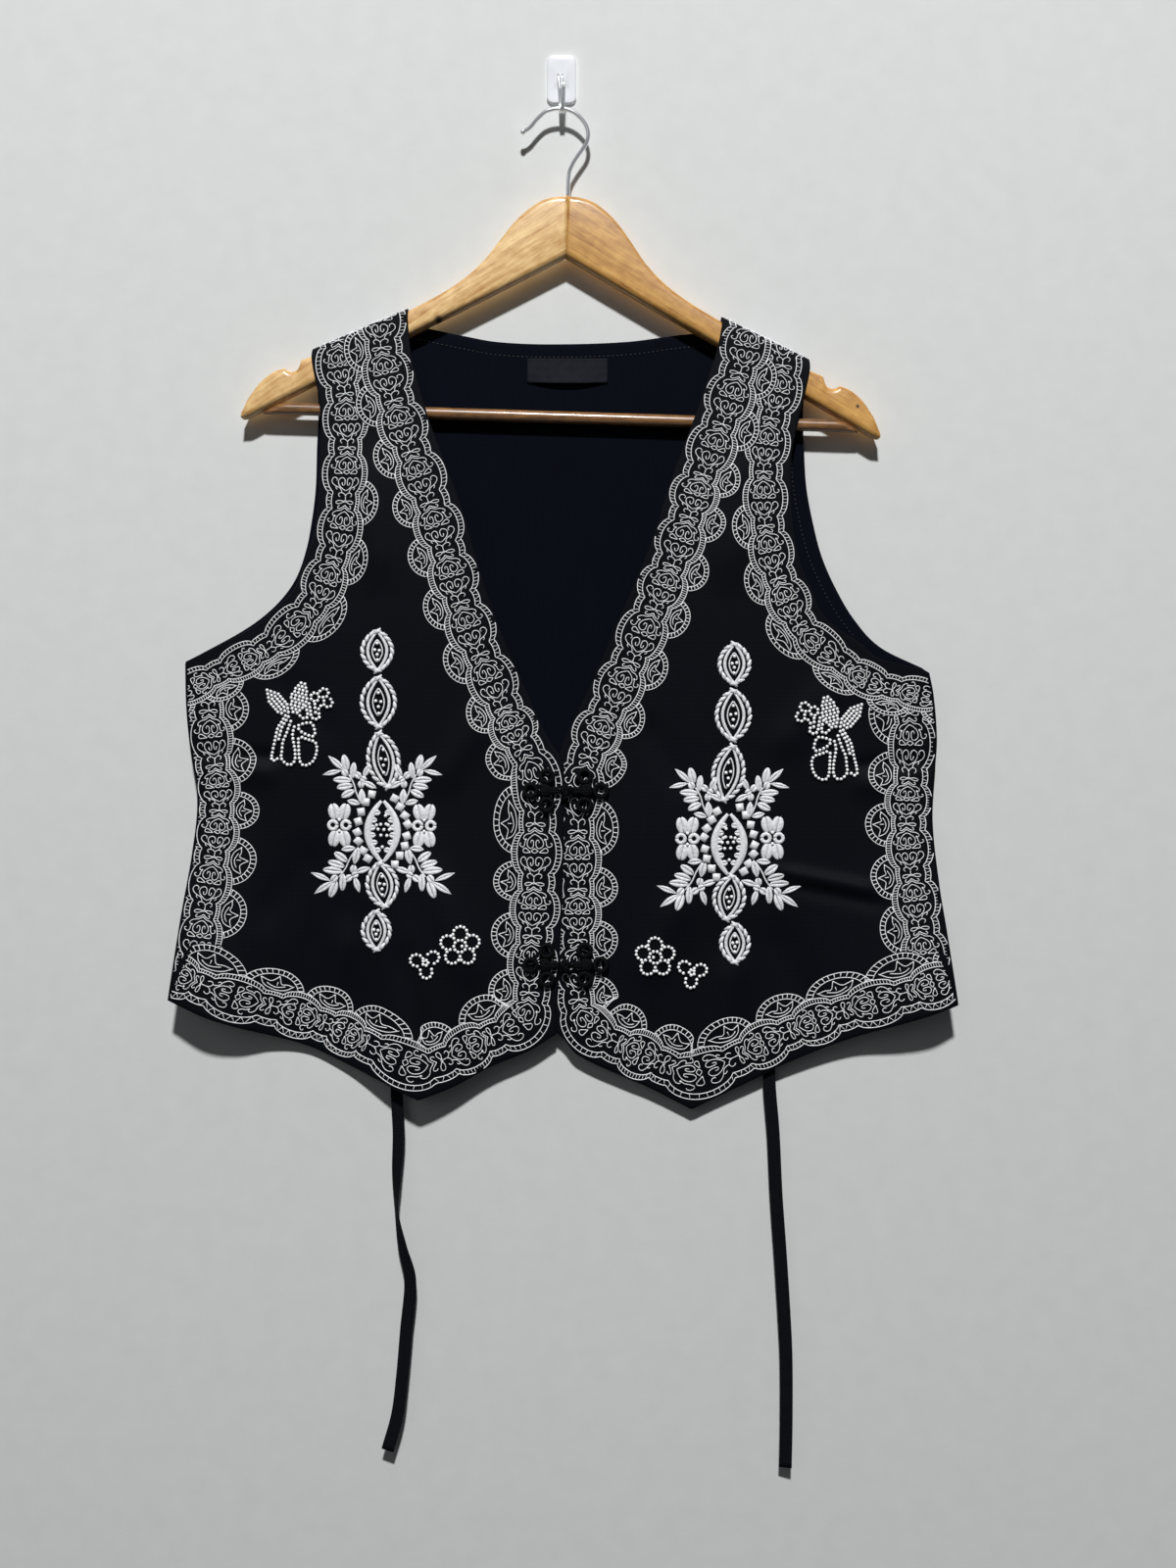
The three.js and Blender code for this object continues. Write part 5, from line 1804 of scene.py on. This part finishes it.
# ---- the hanger and the hooks ----
@dataclass(frozen=True)
class Hanger:
    """The wooden hanger: two arms that meet at the apex, and a round trouser bar.

    Its sizes are measured from the apex square to the hanger, which hangs a little turned about
    it. The outline's points are [reach, height] from the joint outwards.
    """

    apex: tuple[float, float] = (4.6, -87.0)
    tilt: float = math.radians(1.8)
    thickness: float = 12.0
    corner: float = 5.0
    bar_radius: float = 4.25
    bar_height: float = -155.4
    bar_reach: float = 203.0
    bar_slope: float = 0.55

    def tilted(self, x: Array, y: Array, z: Array) -> Array:
        """Points of the upright hanger turned into their hung place."""
        c, s = math.cos(self.tilt), math.sin(self.tilt)
        return np.stack(np.broadcast_arrays(self.apex[0] + x * c + z * s, y, self.apex[1] + z * c - x * s),
                        axis=-1)

    def arm(self, side: float, finish: Finish) -> bpy.types.Object:
        """One arm: a loft of rounded sections square to its reach."""
        top = cornered(
            [[0.02, 0], [10, -0.9], [20, -4.6], [31.6, -13.6], [40, -23], [46.2, -31.5], [56.2, -45.3],
             [68.7, -58], [82.8, -68.6], [96, -76.6], [112, -85.5], [145, -102.6], [174.6, -117.5],
             [183.5, -121]],
            [[183.5, -121], [184.6, -124.6], [186.4, -127.8], [189, -129.3], [192.3, -129.2], [194.6, -127.9],
             [195.5, -127.4]],
            [[195.5, -127.4], [202.5, -129.8], [211.5, -137], [217.5, -145], [221, -150.5], [223.3, -156],
             [224.8, -160.6]])
        foot = through([[0.02, -43.5], [10, -49], [20, -54.6], [31.6, -61], [46.2, -69], [68.7, -81.2],
                        [96, -95.6], [145, -122.4], [183.5, -143.8], [202.5, -154], [211.5, -158.9],
                        [217.5, -162.3], [221, -163.6], [223.3, -163.9], [224.8, -163.2]])
        reach = np.concatenate([np.linspace(0.02, 182.5, 84), np.linspace(183.3, 197, 22),
                                np.linspace(198.5, 222, 22), np.linspace(222.6, 224.8, 6)])
        high, low = top(reach), foot(reach)
        taper = 1 - 0.3 * smooth(217, 225, reach) ** 2
        half_y = (self.thickness / 2 * taper)[:, None]
        half_z = ((high - low) / 2)[:, None]
        corner = np.minimum(self.corner, np.minimum(half_z, half_y) * 0.9)
        y, z = rounded_box(half_y, half_z, corner, 7)
        rings = self.tilted(side * reach[:, None], -HANGER_DEPTH + y, ((high + low) / 2)[:, None] + z)
        rings = rings if side > 0 else rings[:, ::-1]
        word = "right" if side > 0 else "left"
        made = piece(f"hanger_wood_{word}", *lofted(rings), finish)
        return stands_for(made, f"hanger_arm_{word}", "hanger_wood")

    def bar(self) -> bpy.types.Object:
        """The trouser bar, its ends cut to the arms' slope."""
        share = np.linspace(-1, 1, 60)[:, None]
        angle = 2 * np.pi * np.arange(28)[None] / 28
        y, z = self.bar_radius * np.cos(angle), self.bar_radius * np.sin(angle)
        x = share * (self.bar_reach - z / self.bar_slope - 0.8)
        made = piece("trouser_bar", *lofted(self.tilted(x, -HANGER_DEPTH + y, self.bar_height + z)), BAR_WOOD)
        return stands_for(made, "hanger_bar", "bar_wood")

    def build(self) -> list[bpy.types.Object]:
        """Both arms and the bar."""
        return [self.arm(1, BEECH_RIGHT), self.arm(-1, BEECH_LEFT), self.bar()]


def wire(name: str, lines: Sequence[Array], radius: float, sides: int = 14,
         balls_at: Array | None = None, ball: float = 0.0) -> bpy.types.Object:
    """Round chromed wires along lines, with balls at their tips where asked."""
    run = np.repeat(np.arange(len(lines)), [len(line) for line in lines])
    centre = np.vstack(lines)
    across = np.tile([0.31, -0.95, 0.02], (len(centre), 1))
    thick = np.full(len(run), radius)
    points, faces, _ = swept(centre, unit(across), run, thick, thick, sides)
    if balls_at is not None:
        more, extra = balls(balls_at, ball, 20, 11)
        faces = faces + [f + len(points) for f in extra]
        points = np.vstack([points, more])
    return piece(name, points, faces, CHROME)


@dataclass(frozen=True)
class Hooks:
    """The hanger's hook, the adhesive wall pad, and the small wire hook that the pad carries."""

    wire_radius: float = 1.5
    tip_radius: float = 2.1
    wall_wire: float = 0.85
    pad_width: float = 21.0
    pad_height: float = 33.8
    pad_thickness: float = 3.0
    pad_corner: float = 4.5

    def hanger_hook(self) -> bpy.types.Object:
        """The wire from the apex of the arms up and round to its ball tip."""
        path = [[4.6, -86.6], [4.7, -80], [5, -74], [5.7, -69], [8.2, -63.3], [11.7, -57.7],
                [15.3, -52.7], [18.1, -47.8], [19, -42.9], [18.1, -37.9], [15.3, -33], [11, -28.7],
                [6.1, -25.9], [0.5, -24.5], [-5.2, -24.8], [-10.9, -26.6], [-15, -29.8], [-18.6, -33.7],
                [-22.1, -37.9], [-26.6, -40.9]]
        line = spline(path, 1.5)
        made = wire("chrome_hook", [hung(line[:, 0], HANGER_DEPTH, line[:, 1])], self.wire_radius,
                    balls_at=np.array([[-27, -HANGER_DEPTH, -41.1]]), ball=self.tip_radius)
        return stands_for(made, "hanger_hook", "hook_wire")

    def wall_hook(self) -> bpy.types.Object:
        """Two wires that leave the pad in a small V, run down together and turn up to their tips."""
        tail = [[-0.2, 6, -20], [0, 7.4, -25], [0.3, 10.5, -27.4], [0.8, 13.8, -25], [1.2, 15.2, -20],
                [1.4, 15.4, -13], [1.5, 15, -7.8]]
        lines = []
        for head, gap in ((-1.5, -0.75), (1.5, 0.75)):
            route = [[-0.8 + head, 3.9, 2.4], [-0.8 + head * 0.9, 4.6, 0], [-0.8 + gap, 5.4, -8]]
            line = spline(route + [[x + gap, depth, z] for x, depth, z in tail], 0.8)
            lines.append(hung(line[:, 0], line[:, 1], line[:, 2]))
        return stands_for(wire("wall_hook_wire", lines, self.wall_wire, 10), "wall_hook", "hook_wire")

    def pad(self) -> bpy.types.Object:
        """The pad: nested rounded rectangles that rise in a soft edge, thinner below its step.

        The half width w and half height h round off by the corner radius: each ring is the
        outline drawn in, and its depth is the thickness there times the edge's profile.
        """
        w, h = self.pad_width / 2, self.pad_height / 2
        x, z = rounded_box(w, h, self.pad_corner, 13)
        rings = []
        for share, rise in ((0.9, 0.0), (1.0, 0.0), (1.0, 0.6), (0.985, 0.85), (0.95, 0.97), (0.9, 1.0),
                            (0.75, 1.0), (0.6, 1.0), (0.45, 1.0), (0.3, 1.0), (0.15, 1.0), (0.03, 1.0)):
            height = z * (1 - (1 - share) * w / h) if share > 0.89 else z * share
            thick = self.pad_thickness - 0.9 * smooth(-3.0, -5.2, height)
            rings.append(hung(x * share, 0.05 + thick * rise * 0.97, height))
        return stands_for(piece("adhesive_pad", *lofted(np.array(rings)), ABS), "wall_pad", "pad_plastic")

    def build(self) -> list[bpy.types.Object]:
        """The hook, the wall hook and the pad."""
        return [self.hanger_hook(), self.wall_hook(), self.pad()]


# ---- studio ----
@dataclass(frozen=True)
class Studio:
    """Camera, lamps and the wall behind, in metres."""

    eye: tuple[float, float, float] = (0.0188, -1.13, -0.5008)
    lens: float = 36.45
    key: tuple[float, float, float] = (0.02, -2.6, 2.3)
    key_size: float = 0.28
    key_target: tuple[float, float, float] = (0.0, -1.0, -10.0)  # low, so less light falls on the top
    key_power: float = 220.0
    fill: tuple[float, float, float] = (-1.4, -2.2, 0.4)
    fill_size: float = 1.6
    fill_power: float = 3.0
    rear: tuple[float, float, float] = (0.8, 2.4, 0.8)
    rear_size: float = 1.8
    rear_power: float = 90.0
    chest: tuple[float, float, float] = (0.0, 0.0, -0.4)  # what the fill and the rear lamp face
    ambient: float = 0.045
    mirrored: float = 0.2  # how much brighter the room looks in reflections

    def camera(self) -> None:
        """A level camera that looks straight at the wall."""
        data = bpy.data.cameras.new("camera")
        data.lens = self.lens
        data.sensor_width = 36.0
        made = bpy.data.objects.new("camera", data)
        made.location = self.eye
        made.rotation_euler = (math.pi / 2, 0, 0)
        bpy.context.scene.collection.objects.link(made)
        bpy.context.scene.camera = made

    def lamp(self, name: str, place: Sequence[float], target: Sequence[float], size: float,
             power: float) -> None:
        """A square soft lamp that faces a target."""
        data = bpy.data.lights.new(name, "AREA")
        data.size = size
        data.energy = power
        made = bpy.data.objects.new(name, data)
        made.location = place
        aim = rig.Vector(target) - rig.Vector(place)
        made.rotation_euler = aim.to_track_quat("-Z", "Y").to_euler()
        bpy.context.scene.collection.objects.link(made)

    def wall(self) -> None:
        """The painted wall: clear from behind, and no shadow of it falls on the garment's back."""
        mesh = bpy.data.meshes.new("wall")
        mesh.from_pydata([(-4, 0.0005, -4), (4, 0.0005, -4), (4, 0.0005, 3), (-4, 0.0005, 3)], [],
                         [(0, 1, 2, 3)])
        made = bpy.data.objects.new("wall", mesh)
        bpy.context.scene.collection.objects.link(made)
        paint = WALL_PAINT.material()
        tree = paint.node_tree
        shader = tree.nodes["Principled BSDF"].outputs[0]
        rear = add(tree, "NewGeometry").outputs["Backfacing"]
        clear = add(tree, "BsdfTransparent").outputs[0]
        both = add(tree, "MixShader", {0: rear, 1: shader, 2: clear}).outputs[0]
        tree.links.new(both, tree.nodes["Material Output"].inputs["Surface"])
        mesh.materials.append(paint)
        made.visible_shadow = False
        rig.stage(made)

    def build(self) -> None:
        """Wall, lamps and the even light of the room."""
        self.wall()
        self.lamp("key", self.key, self.key_target, self.key_size, self.key_power)
        self.lamp("fill", self.fill, self.chest, self.fill_size, self.fill_power)
        self.lamp("rear", self.rear, self.chest, self.rear_size, self.rear_power)
        world = bpy.data.worlds.new("room")
        world.use_nodes = True
        tree = world.node_tree
        sky = tree.nodes["Background"]
        sky.inputs["Color"].default_value = (0.93, 0.96, 1.0, 1.0)
        mirrored = add(tree, "LightPath").outputs["Is Glossy Ray"]
        strength = add(tree, "Math", {0: mirrored, 1: self.mirrored, 2: self.ambient},
                       operation="MULTIPLY_ADD")
        tree.links.new(strength.outputs[0], sky.inputs["Strength"])
        bpy.context.scene.world = world
        bpy.context.scene.view_settings.view_transform = "Standard"


def front_pieces(front: Front, word: str, borders: Borders, motif: Motif, beads: BeadFlowers) -> None:
    """Builds one front with all that is worked on it, and declares its cloth.

    Args:
        front: the panel.
        word: right or left.
        borders: its bands.
        motif: its motif.
        beads: its bead flowers.
    """
    cloth = front.build()
    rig.replaces(cloth, f"front_{word}")
    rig.slot(cloth, "front_cloth")
    worked = [*borders.build(), *motif.build(), beads.build()]
    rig.sheet(cloth, held="hung", rests_on=[f"hanger_wood_{'left' if word == 'right' else 'right'}"],
             with_pieces=worked, **cut(front.outline()))


def main() -> None:
    """Builds the waistcoat, its hanger and the studio."""
    logging.basicConfig(level=logging.INFO, format="%(name)s %(message)s")
    studio = Studio()
    studio.camera()
    Tie(Side.RIGHT, [
        [-108, 2, -566, 0], [-109, 2, -600, 0], [-112, 2, -650, 0], [-115, 4.5, -690, 5],
        [-116.5, 6.5, -717, 10], [-115.1, 7.5, -748, 15], [-116.5, 8, -776, 40],
        [-116.5, 8.5, -801, 68], [-112.4, 8.5, -827, 40], [-106.8, 8, -852, 14],
        [-109.6, 8, -886, 8], [-112.4, 8.5, -918, 14], [-115.8, 9, -946, 10],
        [-122.8, 9, -971.3, 4]]).build()
    Tie(Side.LEFT, [
        [140, 2, -566, 0], [142, 2, -600, 0], [145, 2, -650, 0], [146.5, 4, -690, 0],
        [147.5, 5.5, -717, 4], [150, 6, -748, 8], [152, 6.5, -791, 12], [154.9, 7, -833, 10],
        [157.6, 7, -876, 6], [159, 7, -908, 4], [159, 7.5, -950, 8], [158.3, 8, -983.8, 12]]).build()
    Hanger().build()
    Hooks().build()
    front_pieces(
        RIGHT_FRONT, "right",
        Borders(RIGHT_FRONT, "right", inner=1, neck_foot=-486, underarm=-415, side_inset=15.5,
                main_marks=[
                    [-105, -308, 1, 1], [-94, -341, 1, 1], [-83.5, -376.6, 1, 1], [-72, -415.7, 1, 1],
                    [-53.7, -452.5, 1, 1], [-38.7, -482.4, 1, 1.1], [-19, -528.7, 1.34, 1.25],
                    [-19, -570, 0.92, 1.2], [-19, -607.7, 1.08, 1.2], [-33.3, -646.8, 1, 1.2],
                    [-54.5, -664.6, 1.15, 1.25], [-90.9, -677, 1.05, 1.15], [-130.6, -671.5, 1.34, 1.3],
                    [-162.2, -656.4, 1.18, 1.25], [-199.9, -642.7, 1.28, 1.25], [-247, -632, 1.45, 1.4]],
                arm_marks=[[-132.7, -303.9, 1, 1], [-141.8, -347.3, 1.05, 1], [-165.3, -383.4, 1.1, 1],
                           [-203.2, -414.1, 1.1, 1]],
                side_marks=[[-238, -448, 1.1, 1.3], [-238, -486, 1.15, 1.35], [-238, -519, 0.95, 1.3],
                            [-238, -552.6, 1.2, 1.4], [-240, -590.5, 1.2, 1.35]]),
        Motif(RIGHT_FRONT, "right", (-125.8, -534.2), 1.0),
        BeadFlowers(RIGHT_FRONT, "right", (-185.3, -463.3), (-71, -614.6), (-95, -626.2), 1.0))
    front_pieces(
        LEFT_FRONT, "left",
        Borders(LEFT_FRONT, "left", inner=0, neck_foot=-511, underarm=-421, side_inset=18.5,
                main_marks=[
                    [119, -291.5, 1, 1], [106, -319, 1, 1], [92.4, -353.6, 1, 1], [77.5, -383.5, 1, 1],
                    [67, -422.6, 1, 1], [47.5, -457, 1, 1], [30.3, -484.7, 1, 1.1],
                    [12, -533.9, 1.15, 1.18], [12, -574.1, 0.95, 1.15], [12, -610.3, 0.95, 1.15],
                    [25.4, -651.6, 1, 1.15], [46.5, -669.2, 1.1, 1.2], [77.7, -684.8, 1.05, 1.2],
                    [119, -681.1, 1.15, 1.25], [157.5, -666.4, 1.2, 1.25], [195.2, -651.8, 1.4, 1.3],
                    [239, -636, 1.45, 1.4]],
                arm_marks=[[127, -321.4, 1, 1], [135, -362.8, 1.05, 1], [158, -394.5, 1.1, 1],
                           [191, -427.7, 1.1, 1]],
                side_marks=[[229, -452.5, 1.3, 1.3], [226, -495.3, 1, 1.3], [226, -528.4, 1.1, 1.35],
                            [232, -565.7, 1.1, 1.3], [241, -602.9, 1.2, 1.2]]),
        Motif(LEFT_FRONT, "left", (118.2, -543.3), -1.0),
        BeadFlowers(LEFT_FRONT, "left", (189.5, -473.4), (66.1, -622.8), (92.1, -633.8), -1.0))
    cloth, *stitching = BACK.build()
    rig.replaces(cloth, "back")
    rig.slot(cloth, "back_cloth")
    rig.sheet(cloth, held="hung", rests_on=["right_front_cloth", "left_front_cloth"],
             with_pieces=[*stitching, NeckLabel().build()], **cut(BACK.outline()))
    for level in ("upper", "lower"):
        Frog(level).build()
    studio.build()
    boxes = {"cad": CAD_BOX, "visual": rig.bounds()}
    with open("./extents.json", "w", encoding="utf-8") as sizes:
        json.dump({key: [list(corner) for corner in box] for key, box in boxes.items()}, sizes, indent=1)


if __name__ == "__main__":
    main()
